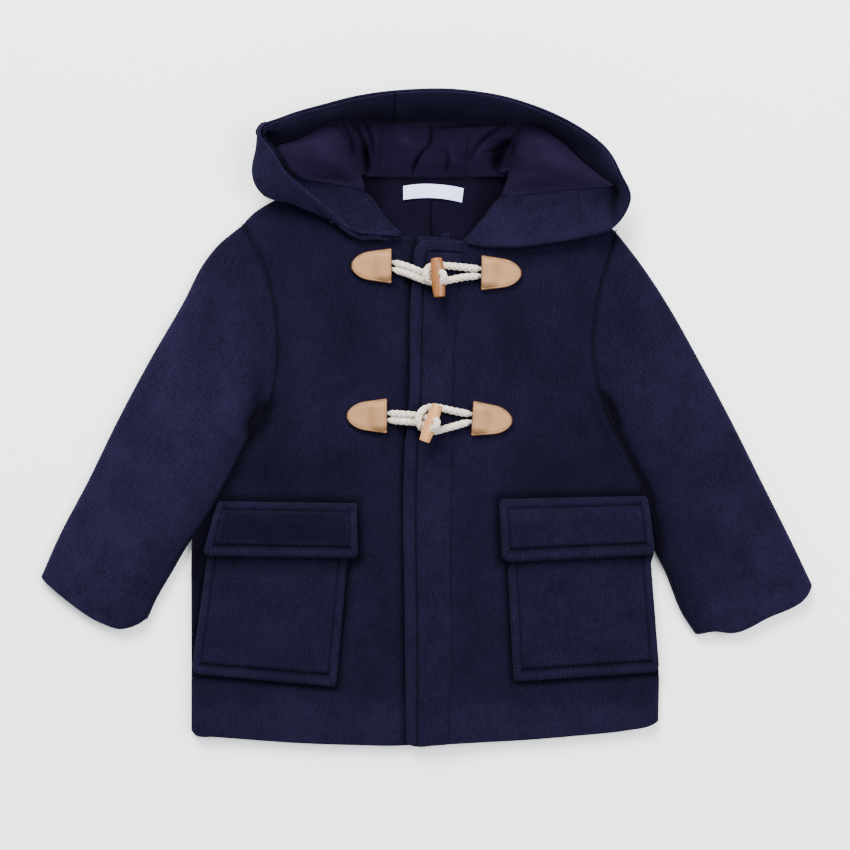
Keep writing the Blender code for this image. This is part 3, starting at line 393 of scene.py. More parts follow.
def crown(x, y):
    """Height of the fronts before they roll down at their seams."""
    past_seam = x - edge_x(PLACKET_SEAM, y)
    step = np.where(past_seam > 0, PLACKET_STEP * np.exp(-np.abs(past_seam) / 18.0), 0.0)
    welt = WELT * bell(side_distance(x, y), WELT_REACH) * (1 - beside_armhole(y))
    return BODY_TOP + step + welt


def back_height(spot, from_side, from_top):
    """Outer face of the back, which curls up to its side and shoulder seams."""
    x, y = spot[..., 0], spot[..., 1]
    side = (1 - roll(from_side / ROLL)) * (1 - beside_armhole(y))
    top = (1 - roll(from_top / ROLL)) * (1 - beside_neck(x))
    return SEAM_LOW * np.maximum(side, top)


def hood_rest(x, y):
    """Underside of the hood: over the shoulders it lies on the fronts, past them on the surface."""
    past = np.clip(-shoulder_distance(x, y), 0.0, None)
    on_body = crown(x, y) + 2 * GAP
    beyond = on_body * (1 - ease((past - 2.0) / LIFT_REACH))
    inside = ease((np.minimum(x - SHOULDER_RIGHT["x"][-1], SHOULDER_LEFT["x"][0] - x) + 3.0) / 5.0)
    return np.where(past > 0, beyond * (1 - inside), on_body)


# ---------------------------------------------------------------- the cloth's relief

BODY_CREASES = folds(
    (-72, 118, -60, 10, 7, 11, -1.5), (-44, 60, -66, -62, -5, 9, 0.9),
    (-100, 60, -84, -40, 4, 12, 0.9), (-104, 15, -125, -58, 4, 8, -1.1),
    (62, 92, 92, 22, -8, 12, -1.5), (100, 118, 74, 30, 6, 10, 0.9),
    (103, 5, 118, -25, 4, 5, -1.0), (36, 50, 44, -60, 5, 12, 0.8),
    (128, 30, 138, -40, 3, 8, -0.9), (-40, -70, -32, -225, 5, 12, -0.7),
    (40, -80, 34, -228, -4, 10, -0.8), (-120, -205, -80, -236, 4, 12, 0.8),
    (80, -205, 140, -228, 5, 12, 0.8), (-112, 22, -132, -22, 3, 5, -2.2), (122, 22, 140, -24, -3, 5, -1.8),
)
SLEEVE_CREASES = {
    "right": folds(
        (-196, 62, -206, -22, 6, 9, 1.8), (-160, 90, -164, 4, -7, 12, -2.0),
        (-133, 44, -128, 8, 4, 6, -1.3), (-214, 5, -246, -92, 7, 11, -1.6),
        (-172, -8, -196, -100, -7, 10, 1.0), (-235, -60, -262, -118, 4, 9, 0.9),
        (-158, 118, -146, 60, 5, 8, 0.8), (-123, 24, -136, -8, 2, 5, -3.0),
    ),
    "left": folds(
        (160, -40, 200, -138, -7, 10, -1.9), (238, -84, 226, -116, 4, 6, -1.3),
        (186, 60, 218, -30, 7, 12, 1.3), (148, 96, 142, 20, 5, 9, -1.2),
        (210, -62, 262, -128, 5, 9, 0.9), (166, 20, 182, -50, 6, 9, 0.9),
        (176, 92, 196, 50, -4, 8, -0.9), (135, 20, 146, -8, -2, 5, -2.4),
    ),
}
# Deep hollows under the arms, on body and sleeve alike; their darkness is mostly painted shade
HOLLOWS = folds(
    (-114, 15, -138, -13, 0, 4.6, -6.0), (-131, -3, -133, -24, 0, 2.8, -4.5), (129, 26, 146, -14, 0, 3.0, -2.4),
)
BACK_CREASES = folds(
    (-70, 120, -52, -30, 8, 12, 0.9), (64, 130, 84, -10, -8, 12, 0.9), (-120, -60, -96, -220, 6, 11, 0.7),
    (30, 60, 22, -120, 6, 12, 0.8), (128, -60, 116, -215, -6, 11, 0.8), (-20, -90, -30, -225, 4, 9, 0.6),
)


def creases(x, y, rows):
    """Height that the troughs and ridges of a table add at a plan point."""
    total = np.zeros(np.shape(x))
    for x0, y0, x1, y1, bow, width, depth in zip(*rows.values()):
        length = np.hypot(x1 - x0, y1 - y0)
        run_x, run_y = (x1 - x0) / length, (y1 - y0) / length
        along = ((x - x0) * run_x + (y - y0) * run_y) / length
        arch = np.sin(math.pi * np.clip(along, 0.0, 1.0))
        off = (y - y0) * run_x - (x - x0) * run_y - bow * arch
        total += depth * bell(off, width) * arch**0.8
    return total


def ripple(x, y, period, seed):
    """Smooth unevenness from about -1 to 1 with this period."""
    chance = np.random.default_rng(seed)
    total = np.zeros(np.shape(x))
    for _ in range(8):
        angle, phase = chance.uniform(0, 2 * math.pi, 2)
        wave = 2 * math.pi / (period * chance.uniform(0.7, 1.5))
        total += np.sin(wave * (x * math.cos(angle) + y * math.sin(angle)) + phase)
    return total / 3.6


def beside_placket(x, y):
    """0 under and beside the placket, 1 away from it."""
    fold, seam = edge_x(PLACKET_FOLD, y), edge_x(PLACKET_SEAM, y)
    return np.maximum(ease((fold - 3 - x) / 12.0), ease((x - seam - 3) / 12.0))


def body_relief(x, y):
    """Creases and unevenness of the fronts, fading out at seams, neck and placket."""
    away = ease((side_distance(x, y) - 1) / 14.0) * ease((shoulder_distance(x, y) - 6) / 16.0)
    hollow = 0.4 * creases(x, y, HOLLOWS)
    uneven = 0.34 * ripple(x, y, 70.0, 3) + 0.14 * ripple(x, y, 24.0, 4)
    return (creases(x, y, BODY_CREASES) + uneven) * away * beside_placket(x, y) + hollow


def outside(corners, x, y):
    """Distance out from an outline with four corners, 0 inside it."""
    far = np.zeros(np.shape(x))
    turn = 1 if corners["x"][0] < corners["x"][1] else -1
    for k in range(4):
        x0, y0 = corners["x"][k], corners["y"][k]
        run_x, run_y = corners["x"][(k + 1) % 4] - x0, corners["y"][(k + 1) % 4] - y0
        off = ((x - x0) * run_y - (y - y0) * run_x) / np.hypot(run_x, run_y)
        far = np.maximum(far, turn * off)
    return far


def beside_sewn(x, y):
    """1 against the pockets, their flaps and the placket's fold, 0 a little away from them."""
    near = edge_x(PLACKET_FOLD, y) - x
    near = np.where(near < -3, 99.0, np.maximum(near, 0.0))
    for corners in (*POCKET_BAG.values(), *POCKET_FLAP.values()):
        near = np.minimum(near, outside(corners, x, y))
    return bell(near, 4.6)


def body_shade(x, y):
    """Painted light and shade of the fronts: darker in hollows and seams and beside what is sewn on, lighter along
    the hem.
    """
    from_side, at_armhole = side_distance(x, y), beside_armhole(y)
    painted_cavity_shade = 0.15 * creases(x, y, BODY_CREASES) - 0.5 * beside_sewn(x, y) + 0.16 * creases(x, y, HOLLOWS)
    seams = -0.75 * bell(from_side, 2.0) * at_armhole
    painted_belly_shade = -0.26 * bell(y + 42, 26) * ease((np.abs(x - 3) - 40) / 30)
    hem = 0.26 * ease((-205 - y) / 18)
    # Painted shadow along the sides, beside the sleeves
    shadow = 0.22 * ease((y + 190) / 30) + 0.5 * ease((y + 150) / 40)
    sides = -shadow * bell(from_side, 9) * (1 - at_armhole) * ease((-40 - x) / 20)
    sides -= 0.5 * bell(from_side, 2.2) * ease((x - 40) / 20) * ease((y + 110) / 15) * ease((10 - y) / 10)
    return np.clip(0.94 + painted_cavity_shade + seams + painted_belly_shade + hem + sides, 0.25, 1.5)


def lay(x, y):
    """Outer face of the fronts before they roll down at their seams, with its relief."""
    past_seam = x - edge_x(PLACKET_SEAM, y)
    rise = np.where(past_seam > -0.5, FLUSH * bell(np.maximum(past_seam, 0), 15.0), 0.0)
    return crown(x, y) + rise + body_relief(x, y)


# ---------------------------------------------------------------- Blender helpers

def link(obj):
    """Adds an object to the scene."""
    bpy.context.scene.collection.objects.link(obj)
    return obj


def mesh_object(name, points, faces, mat, grain=None, chart=None):
    """A mesh object from points in millimetres, with its cloth coordinates and chart."""
    mesh = bpy.data.meshes.new(name)
    points = np.asarray(points, dtype=np.float32).reshape(-1, 3)
    faces = np.asarray(faces, dtype=np.int32)
    corners = faces.shape[1]
    mesh.vertices.add(len(points))
    mesh.vertices.foreach_set("co", (points * MM).ravel())
    mesh.loops.add(faces.size)
    mesh.loops.foreach_set("vertex_index", faces.ravel())
    mesh.polygons.add(len(faces))
    mesh.polygons.foreach_set("loop_start", np.arange(0, faces.size, corners, dtype=np.int32))
    mesh.update(calc_edges=True)
    mesh.shade_smooth()
    if grain is not None:
        attribute = mesh.attributes.new("grain", "FLOAT_VECTOR", "POINT")
        attribute.data.foreach_set("vector", np.asarray(grain, dtype=np.float32).ravel())
    if chart is not None:
        layer = mesh.uv_layers.new(name="OFBake")
        layer.uv.foreach_set("vector", np.asarray(chart, dtype=np.float32)[faces.ravel()].ravel())
    mesh.materials.append(mat)
    mesh.validate()
    return link(bpy.data.objects.new(name, mesh))


def arcs(points, axis):
    """Distance along each line of a grid of points, from 0."""
    steps = np.linalg.norm(np.diff(points, axis=axis), axis=-1)
    start = np.zeros_like(np.take(steps, [0], axis=axis))
    return np.concatenate([start, np.cumsum(steps, axis=axis)], axis=axis)


EDGE_ROWS = np.array([0.0, 0.05, 0.22, 0.55, 1.0, 1.6, 2.3])  # distances from a rounded edge
MARK_ROWS = (-1.6, -0.8, -0.3, 0.0, 0.3, 0.8, 1.6)  # and to either side of a line of stitches
MARK_REACH = 1.9  # no other stop is this near to such a line
LEAST_HEIGHT = 0.3  # of a sheet's inner face above the surface


def stops(length, step, marks=()):
    """Grid stops from 0 to 1 that crowd at both ends, and at marks in millimetres."""
    near, far = EDGE_ROWS, length - EDGE_ROWS[::-1]
    count = max(2, int(round((far[0] - near[-1]) / step)))
    middle = np.linspace(near[-1], far[0], count + 1)[1:-1]
    close = [mark + shift for mark in marks for shift in MARK_ROWS]
    keep = [m for m in middle if all(abs(m - mark) > MARK_REACH for mark in marks)]
    return np.sort(np.concatenate([near, keep, close, far])) / length


def stop_near(stops_at, length, mark):
    """Index of the grid stop that lies at this many millimetres."""
    return int(np.argmin(np.abs(stops_at * length - mark)))


def stitch_lines(points, *cuts, down=False):
    """Rows and columns of a grid as lines for stitches, each with its normals."""
    normal = normals_of(points, down=down)
    return [(points[cut], normal[cut]) for cut in cuts]


def sheet_of(points, ring=False):
    """Takes a piece's grid and closes it into a loop if it is a ring; nothing more is done with it."""
    if ring:
        points = np.concatenate([points, points[:, :1]], axis=1)


def unit(vectors):
    """Vectors of length 1."""
    return vectors / np.maximum(np.linalg.norm(vectors, axis=-1, keepdims=True), 1e-12)


def normals_of(points, ring=False, down=False):
    """Normals of a grid of points, on the side that its columns and rows wind round."""
    if ring:
        wrapped = np.concatenate([points[:, -1:], points, points[:, :1]], axis=1)
        across = (wrapped[:, 2:] - wrapped[:, :-2])
    else:
        across = np.gradient(points, axis=1)
    normal = unit(np.cross(across, np.gradient(points, axis=0)))
    return -normal if down else normal


def cloth(name, points, wall, mat, nodes=(), ring=False, down=False,
          grain=None, declare=True, shade=None, upright=False, cut=None):
    """Cloth with rounded edges from a grid of points on its outer face.

    grain: direction of its threads in plan, in degrees, or none where they follow the grid;
    shade: painted light and shade at each point, which the colour is multiplied by; upright: its thickness is
    measured along Z; cut: the same face without its fine puckers, which goes to sheet_of in place of the points."""
    rows, columns = points.shape[:2]
    normal = np.zeros_like(points) + [0.0, 0.0, 1.0] if upright else normals_of(points, ring, down)
    half = wall / 2
    across, up = arcs(points, 1), arcs(points, 0)
    edge = np.full((rows, columns), half)
    for gap in (() if ring else (across, across[:, -1:] - across)) + (up, up[-1:] - up):
        edge = np.minimum(edge, gap)
    sunk = half * (1 - roll(edge / half))[..., None]
    outer = points - normal * sunk
    inner = points - normal * (wall - sunk)
    outer[..., 2] = np.maximum(outer[..., 2], 0.0)
    inner[..., 2] = np.maximum(inner[..., 2], LEAST_HEIGHT)
    if grain is None:
        weave = np.stack([up, across, np.zeros_like(up)], axis=-1)
    else:
        x, y, turn = points[..., 0], points[..., 1], math.radians(grain)
        weave = np.stack([x * math.cos(turn) + y * math.sin(turn),
                          y * math.cos(turn) - x * math.sin(turn), points[..., 2]], axis=-1)
    index = np.arange(rows * columns).reshape(rows, columns)
    below = index + rows * columns
    ahead = np.roll(index, -1, axis=1) if ring else index[:, 1:]
    here = index if ring else index[:, :-1]
    top = np.stack([here[:-1], ahead[:-1], ahead[1:], here[1:]], axis=-1).reshape(-1, 4)
    faces = [top, top[:, ::-1] + rows * columns]
    rims = [(index[0], below[0]), (below[-1], index[-1])]
    if not ring:
        rims += [(below[:, 0], index[:, 0]), (index[:, -1], below[:, -1])]
    for first, second in rims:
        if ring:
            first, second = np.append(first, first[0]), np.append(second, second[0])
        faces.append(np.stack([first[:-1], second[:-1], second[1:], first[1:]], axis=-1))
    faces = np.concatenate(faces)
    if down:
        faces = faces[:, ::-1]
    v, u = np.meshgrid(np.linspace(0, 1, rows), np.linspace(0, 1, columns), indexing="ij")
    chart = np.concatenate([np.stack([0.01 + 0.98 * u, low + 0.485 * v], -1).reshape(-1, 2) for low in (0.505, 0.01)])
    weave = weave.reshape(-1, 3)
    both = np.concatenate([outer.reshape(-1, 3), inner.reshape(-1, 3)])
    obj = mesh_object(name, both, faces, mat, np.concatenate([weave, weave]), chart)
    # Painted light and shade, stored on the points for the colour to be multiplied by
    light = np.broadcast_to(1.0 if shade is None else shade, (rows, columns)).ravel()
    attribute = obj.data.attributes.new("shade", "FLOAT", "POINT")
    attribute.data.foreach_set("value", np.concatenate([light, light]).astype(np.float32))
    close_seams(obj)
    finish_piece(obj, nodes)
    if declare:
        sheet_of(points if cut is None else cut, ring)
    return obj


def close_seams(obj):
    """Merges the points that meet along rounded edges and drops what has no width there."""
    cage = bmesh.new()
    cage.from_mesh(obj.data)
    bmesh.ops.remove_doubles(cage, verts=cage.verts, dist=2e-6)
    bmesh.ops.dissolve_degenerate(cage, edges=cage.edges, dist=1e-7)
    cage.to_mesh(obj.data)
    cage.free()


def finish_piece(obj, nodes):
    """Puts a piece in its place on the frame and the solids it stands for."""
    obj.location = (SHIFT_X * MM, SHIFT_Y * MM, 0.0)
    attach(obj, "root")
    if nodes:
        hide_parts(*nodes)


# ---------------------------------------------------------------- materials

class Shader:
    """A material's node tree, with short calls for the nodes that cloth and wood take."""

    def __init__(self, name):
        self.material = bpy.data.materials.new(name)
        self.material.use_nodes = True
        self.tree = self.material.node_tree
        self.surface = self.tree.nodes["Principled BSDF"]

    def node(self, kind, **values):
        """A new node with these properties."""
        made = self.tree.nodes.new(kind)
        for name, value in values.items():
            setattr(made, name, value)
        return made

    def put(self, socket, value):
        """Links a socket to another, or sets its value."""
        if isinstance(value, bpy.types.NodeSocket):
            self.tree.links.new(value, socket)
        else:
            socket.default_value = value

    def math(self, operation, first, second=0.0, third=0.0, clamp=False):
        """A number from up to three others."""
        made = self.node("ShaderNodeMath", operation=operation, use_clamp=clamp)
        for k, value in enumerate((first, second, third)):
            self.put(made.inputs[k], value)
        return made.outputs[0]

    def grain(self):
        """Cloth coordinates in millimetres."""
        return self.node("ShaderNodeAttribute", attribute_name="grain").outputs["Vector"]

    def place(self):
        """The object's own coordinates, in millimetres."""
        return self.scaled(self.node("ShaderNodeTexCoord").outputs["Object"], 1 / MM)

    def scaled(self, vector, factor):
        """A vector or colour times a number."""
        made = self.node("ShaderNodeVectorMath", operation="SCALE")
        self.put(made.inputs[0], vector)
        self.put(made.inputs["Scale"], factor)
        return made.outputs[0]

    def split(self, vector):
        """A vector's three numbers."""
        made = self.node("ShaderNodeSeparateXYZ")
        self.put(made.inputs[0], vector)
        return made.outputs

    def blend(self, first, share, second, rest):
        """So much of one number and so much of another."""
        return self.math("MULTIPLY_ADD", first, share, self.math("MULTIPLY", second, rest))

    def within(self, distance, reach):
        """1 at no distance, 0 from this reach on."""
        return self.math("SUBTRACT", 1.0, self.math("DIVIDE", distance, reach), clamp=True)

    def mix(self, share, first, second):
        """One colour that goes over to another."""
        made = self.node("ShaderNodeMix", data_type="RGBA")
        for slot, value in ((0, share), (6, first), (7, second)):
            self.put(made.inputs[slot], value)
        return made.outputs[2]

    def noise(self, vector, scale, detail=2.0, rough=0.5, stretch=None):
        """Noise of this many features a millimetre."""
        if stretch:
            mapping = self.node("ShaderNodeMapping")
            self.put(mapping.inputs["Vector"], vector)
            mapping.inputs["Scale"].default_value = stretch
            vector = mapping.outputs["Vector"]
        made = self.node("ShaderNodeTexNoise")
        for name, value in (("Vector", vector), ("Scale", scale), ("Detail", detail), ("Roughness", rough)):
            self.put(made.inputs[name], value)
        return made.outputs["Fac"]

    def ramp(self, factor, *colours):
        """Colour by factor; each colour is (position, (r, g, b))."""
        made = self.node("ShaderNodeValToRGB")
        self.put(made.inputs["Fac"], factor)
        elements = made.color_ramp.elements
        while len(elements) < len(colours):
            elements.new(0.5)
        for element, (position, colour) in zip(elements, colours):
            element.position = position
            element.color = (*colour, 1.0)
        return made.outputs["Color"]

    def bump(self, height, distance, strength=1.0, under=None):
        """A normal from a height; the distance is in millimetres."""
        made = self.node("ShaderNodeBump")
        made.inputs["Strength"].default_value = strength
        made.inputs["Distance"].default_value = distance * MM
        self.put(made.inputs["Height"], height)
        if under is not None:
            self.put(made.inputs["Normal"], under)
        return made.outputs["Normal"]

    def shaded(self, colour):
        """The colour times the painted light and shade that the cloth carries there."""
        return self.scaled(colour, self.node("ShaderNodeAttribute", attribute_name="shade").outputs["Fac"])

    def finish(self, colour, roughness, normal, **constants):
        """The finished material."""
        self.put(self.surface.inputs["Base Color"], colour)
        self.put(self.surface.inputs["Roughness"], roughness)
        if normal is not None:
            self.put(self.surface.inputs["Normal"], normal)
        for name, value in constants.items():
            self.surface.inputs[name.replace("_", " ")].default_value = value
        return self.material


WEAVE_PITCH = 3.0  # of the bird's-eye, two dots
NAVY = (0.0036, 0.0029, 0.0094)  # middle tone of the wool


def wool(name):
    """Fulled wool: a bird's-eye of small dots under a short nap, around a middle tone."""
    shader = Shader(name)
    grain = shader.grain()
    warp = shader.node("ShaderNodeTexNoise")
    shader.put(warp.inputs["Vector"], grain)
    warp.inputs["Scale"].default_value = 0.3
    shift = shader.node("ShaderNodeVectorMath", operation="MULTIPLY_ADD")
    for k, value in enumerate((warp.outputs["Color"], (2.6, 2.6, 0.0), grain)):
        shader.put(shift.inputs[k], value)
    turns = 2 * math.pi / WEAVE_PITCH
    across, along = (shader.math("SINE", shader.math("MULTIPLY", part, turns))
                     for part in shader.split(shift.outputs[0])[:2])
    dots = shader.math("MULTIPLY_ADD", shader.math("MULTIPLY", across, along), 0.5, 0.5)
    nap = shader.noise(grain, 0.6, 4.0, 0.75)
    ribs = shader.noise(grain, 0.5, 2.0, 0.5, (1.6, 0.25, 1.0))
    patchy = shader.noise(grain, 0.045, 4.0, 0.6)
    fine = shader.math("MULTIPLY_ADD", ribs, 0.24, shader.blend(dots, 0.16, nap, 0.62))
    fine = shader.math("SUBTRACT", fine, 0.51)
    mixed = shader.math("MULTIPLY_ADD", patchy, 0.36, shader.math("ADD", fine, 0.31))
    dark, light = (tuple(share * part for part in NAVY) for share in (0.3, 2.0))
    # The colour times each piece's painted light and shade
    colour = shader.shaded(shader.ramp(mixed, (0.22, dark), (0.80, light)))
    normal = shader.bump(shader.blend(dots, 0.3, nap, 0.75), 0.5, 0.7)
    return shader.finish(colour, 0.95, normal, Specular_IOR_Level=0.02, Sheen_Weight=0.045, Sheen_Roughness=0.5,
                         Sheen_Tint=(0.5, 0.5, 0.95, 1.0))


def lining_cloth(name, dark, light):
    """Smooth, slightly shiny lining of very fine threads."""
    shader = Shader(name)
    grain = shader.grain()
    threads = shader.noise(grain, 2.4, 2.0, 0.5, (1.0, 0.25, 1.0))
    patchy = shader.noise(grain, 0.05, 2.0, 0.5)
    mixed = shader.blend(threads, 0.4, patchy, 0.6)
    # The colour times each piece's painted light and shade
    colour = shader.shaded(shader.ramp(mixed, (0.2, dark), (0.8, light)))
    wrinkle = shader.noise(grain, 0.16, 3.0, 0.55)
    fine = shader.bump(threads, 0.06, 0.6)
    normal = shader.bump(wrinkle, 0.9, 0.3, fine)
    return shader.finish(colour, 0.85, normal, Specular_IOR_Level=0.01, Sheen_Weight=0.015, Sheen_Roughness=0.5,
                         Sheen_Tint=(0.5, 0.4, 0.9, 1.0))


def plain_leather():
    """Tan leather, burnt dark along its cut edge, and darker along its stitches: compressed leather there, with
    painted shade for the dent.

    The third of its coordinates is the distance from the edge."""
    shader = Shader("tan_leather")
    grain = shader.grain()
    pores, cloud = shader.noise(grain, 1.6, 4.0, 0.6), shader.noise(grain, 0.1, 2.0, 0.5)
    from_edge = shader.split(grain)[2]
    tone = shader.blend(pores, 0.3, cloud, 0.7)
    base = shader.ramp(tone, (0.25, (0.21, 0.108, 0.047)), (0.75, (0.275, 0.148, 0.068)))
    pressed_and_shaded = shader.within(shader.math("ABSOLUTE", shader.math("SUBTRACT", from_edge, PATCH_STITCH)), 0.5)
    # Darker along the stitches: compressed leather, with painted shade in the dent
    sunk = shader.mix(shader.math("MULTIPLY", pressed_and_shaded, 0.45), base, (0.08, 0.034, 0.015, 1.0))
    colour = shader.mix(shader.within(from_edge, 0.75), sunk, (0.045, 0.017, 0.008, 1.0))
    return shader.finish(colour, 0.6, shader.bump(pores, 0.12, 0.35), Specular_IOR_Level=0.16)


def cord_cotton():
    """Matt, slightly uneven cotton."""
    shader = Shader("cream_cord")
    place = shader.place()
    fibre = shader.noise(place, 2.2, 3.0, 0.6)
    cloud = shader.noise(place, 0.25, 2.0, 0.5)
    tone = shader.blend(fibre, 0.6, cloud, 0.4)
    colour = shader.ramp(tone, (0.25, (0.38, 0.325, 0.265)), (0.75, (0.60, 0.53, 0.455)))
    normal = shader.bump(fibre, 0.16, 0.6)
    return shader.finish(colour, 0.9, normal, Specular_IOR_Level=0.12, Sheen_Weight=0.1, Sheen_Roughness=0.5)


def turned_wood(name, dark, light, gloss):
    """Wood with its grain along the toggle, which the cloth coordinate's second number follows."""
    shader = Shader(name)
    grain = shader.grain()
    rings = shader.noise(grain, 0.9, 4.0, 0.6, (1.0, 0.12, 1.0))
    pores = shader.noise(grain, 4.0, 2.0, 0.5, (1.0, 0.1, 1.0))
    tone = shader.blend(rings, 0.8, pores, 0.2)
    colour = shader.ramp(tone, (0.3, dark), (0.7, light))
    normal = shader.bump(pores, 0.08, 0.3)
    return shader.finish(colour, gloss, normal, Specular_IOR_Level=0.3, Coat_Weight=0.08, Coat_Roughness=0.3)


def label_satin():
    """Smooth pale blue ribbon, without any marks."""
    shader = Shader("label_satin")
    grain = shader.grain()
    threads = shader.noise(grain, 3.0, 2.0, 0.5, (0.2, 1.0, 1.0))
    colour = shader.ramp(threads, (0.3, (0.47, 0.55, 0.82)), (0.7, (0.54, 0.63, 0.95)))
    normal = shader.bump(threads, 0.05, 0.4)
    return shader.finish(colour, 0.5, normal, Specular_IOR_Level=0.4, Sheen_Weight=0.1)


def thread(name, colour, shine):
    """Sewing thread, a little darker in its twist."""
    shader = Shader(name)
    place = shader.place()
    twist = shader.noise(place, 5.0, 1.0)
    dim = tuple(0.75 * part for part in colour)
    return shader.finish(shader.ramp(twist, (0.3, dim), (0.7, colour)), 0.8, shader.bump(twist, 0.05, 0.3),
                         Specular_IOR_Level=shine)


WOOL = wool("navy_wool")
HOOD_WOOL = wool("navy_hood_wool")
LINING = lining_cloth("violet_lining", (0.0044, 0.0029, 0.0098), (0.0072, 0.0050, 0.0160))
LEATHER = plain_leather()
CORD = cord_cotton()
WOOD = {
    1: turned_wood("toggle_wood_orange", (0.12, 0.040, 0.010), (0.25, 0.096, 0.026), 0.4),
    2: turned_wood("toggle_wood_pale", (0.26, 0.105, 0.034), (0.50, 0.25, 0.105), 0.45),
}
SATIN = label_satin()
NAVY_THREAD = thread("navy_thread", (0.0024, 0.0019, 0.0056), 0.02)
TAN_THREAD = thread("tan_thread", (0.020, 0.008, 0.004), 0.05)


# ---------------------------------------------------------------- stitches

STITCH_LENGTH = 2.8
STITCH_PITCH = 3.4  # from one stitch to the next
STITCH_RADIUS = 0.36
THREAD_SIDES = 6  # of a stitch's cross-section
THREAD_RINGS = (-1.0, -0.62, 0.0, 0.62, 1.0)  # from one end of a stitch to the other


def stitches(name, lines, mat, pitch=STITCH_PITCH, length=STITCH_LENGTH, radius=STITCH_RADIUS):
    """Small lengths of thread along lines of points, each line with its normals."""
    template = []
    for along in THREAD_RINGS:
        size = math.sqrt(max(0.0, 1 - along * along))
        for k in range(THREAD_SIDES if size else 1):
            angle = 2 * math.pi * k / THREAD_SIDES
            template.append((along, size * math.cos(angle), size * math.sin(angle)))
    template = np.array(template)
    triangles, last = [], len(template) - 1
    for k in range(THREAD_SIDES):
        after = (k + 1) % THREAD_SIDES
        triangles.append((0, 1 + after, 1 + k))
        for low in (1, 1 + THREAD_SIDES):
            high = low + THREAD_SIDES
            triangles += [(low + k, low + after, high + after), (low + k, high + after, high + k)]
        triangles.append((high + k, high + after, last))
    triangles = np.array(triangles)
    points, made, start = [], [], 0
    for line, normal in lines:
        run = arcs(line[None], 1)[0]
        count = int(run[-1] // pitch)
        if count < 1:
            continue
        middle = (np.arange(count) + 0.5) * run[-1] / count

        def sampled(at, values):
            """Rows of values at these distances along the line."""
            return np.stack([np.interp(at, run, values[:, k]) for k in range(3)], -1)

        spot = sampled(middle, line)
        along = unit(sampled(middle + 0.6, line) - sampled(middle - 0.6, line))
        side = unit(np.cross(unit(sampled(middle, normal)), along))
        up = np.cross(along, side)
        body = (template[None, :, 0:1] * along[:, None] * length / 2
                + template[None, :, 1:2] * side[:, None] * radius
                + template[None, :, 2:3] * up[:, None] * radius * 0.8)
        points.append((spot[:, None] + body).reshape(-1, 3))
        shift = start + np.arange(count)[:, None, None] * len(template)
        made.append((triangles[None] + shift).reshape(-1, 3))
        start += len(points[-1])
    finish_piece(mesh_object(name, np.concatenate(points), np.concatenate(made), mat), ())


# ---------------------------------------------------------------- body

def armhole(side):
    """The armhole from the shoulder tip down, as a stretch of a side's outline."""
    return lambda at: SIDE[side](1 - at * (1 - UNDERARM[side]))


SIDE = {"right": outline(SIDE_RIGHT), "left": outline(SIDE_LEFT)}
FRONT_SIZE = (165.0, 390.0)  # width and length that the grids count in
BACK_SIZE = (345.0, 390.0)
FRONT_STEP, BACK_STEP = 2.2, 3.0


def front_face(spot, from_side, from_top):
    """Outer face of a front: it rolls down at its side and shoulder seams."""
    x, y = spot[..., 0], spot[..., 1]
    at_armhole, at_neck = beside_armhole(y), beside_neck(x)
    inward, downward = roll(from_side / ROLL), roll(from_top / ROLL)
    side = (1 - at_armhole) * inward + at_armhole * (0.2 + 0.8 * inward)
    top = (1 - at_neck) * downward + at_neck
    return SEAM_HIGH + (lay(x, y) - 1.5 * beside_sewn(x, y) - SEAM_HIGH) * side * top


def make_fronts():
    """The two fronts; the wearer's right one goes on under the placket."""
    width, length = FRONT_SIZE
    across, up = stops(width, FRONT_STEP), stops(length, FRONT_STEP)
    u, v = np.meshgrid(across, up)
    # Both go on a little past the placket's seam, and so under it
    under, seam = outline(moved(PLACKET_SEAM, -1.2, 0.5)), outline(moved(PLACKET_SEAM, -1.5))
    for side, hem, top, start, end, from_side, rests_on in (
        ("right", HEM_RIGHT, FRONT_TOP_RIGHT, SIDE["right"], under, u, "back_panel_cloth"),
        ("left", HEM_LEFT, FRONT_TOP_LEFT, seam, SIDE["left"], 1 - u, "front_right_cloth"),
    ):
        spot = plan(outline(hem), outline(top), start, end, across, up)
        points = with_height(spot, front_face(spot, from_side * width, (1 - v) * length))
        # Their colour carries painted light and shade
        cloth(f"front_{side}_cloth", points, BODY_WALL, WOOL, nodes=[f"front_{side}"], grain=0,
              shade=body_shade(spot[..., 0], spot[..., 1]))


def make_back():
    """The back lies on the surface and curls up to its seams; its creases are on its underside."""
    width, length = BACK_SIZE
    across, up = stops(width, BACK_STEP), stops(length, BACK_STEP)
    u, v = np.meshgrid(across, up)
    from_side, from_top = np.minimum(u, 1 - u) * width, (1 - v) * length
    hem = outline(joined(moved(HEM_RIGHT, 0, 1.5), moved(HEM_LEFT, 0, 1.5)))
    neck = path((-49, 181), (-44, BACK_NECK_Y), (48, BACK_NECK_Y), (53, 181))
    top = outline(joined(SHOULDER_RIGHT, neck, SHOULDER_LEFT))
    spot = plan(hem, top, SIDE["right"], SIDE["left"], across, up)
    x, y = spot[..., 0], spot[..., 1]
    inside = ease(from_side / 16) * ease(v * length / 12) * ease(from_top / 14)
    lift = np.maximum(creases(x, y, BACK_CREASES) * inside, 0.0)
    # The underarm seams reach out a little, to close against the sleeves
    spot[..., 0] += 2.5 * bell(y + 8, 16) * np.sign(u - 0.5) * ease((np.abs(u - 0.5) - 0.46) / 0.04)
    height = back_height(spot, from_side, from_top) + lift
    cloth("back_panel_cloth", with_height(spot, height), BODY_WALL, WOOL, nodes=["back_panel"], down=True, grain=0)


PLACKET_SIZE = (34.5, 376.0)
PLACKET_STITCH = 9.0  # from its fold and its upper edge to the stitches
PLACKET_CORNERS = (2.0, 0.0, 0.0, 8.0)  # radii, from the fold at the hem and going round


def groove(distance, depth=0.8, width=0.9):
    """Dent that a line of stitches pulls into the cloth."""
    return -depth * bell(distance, width)


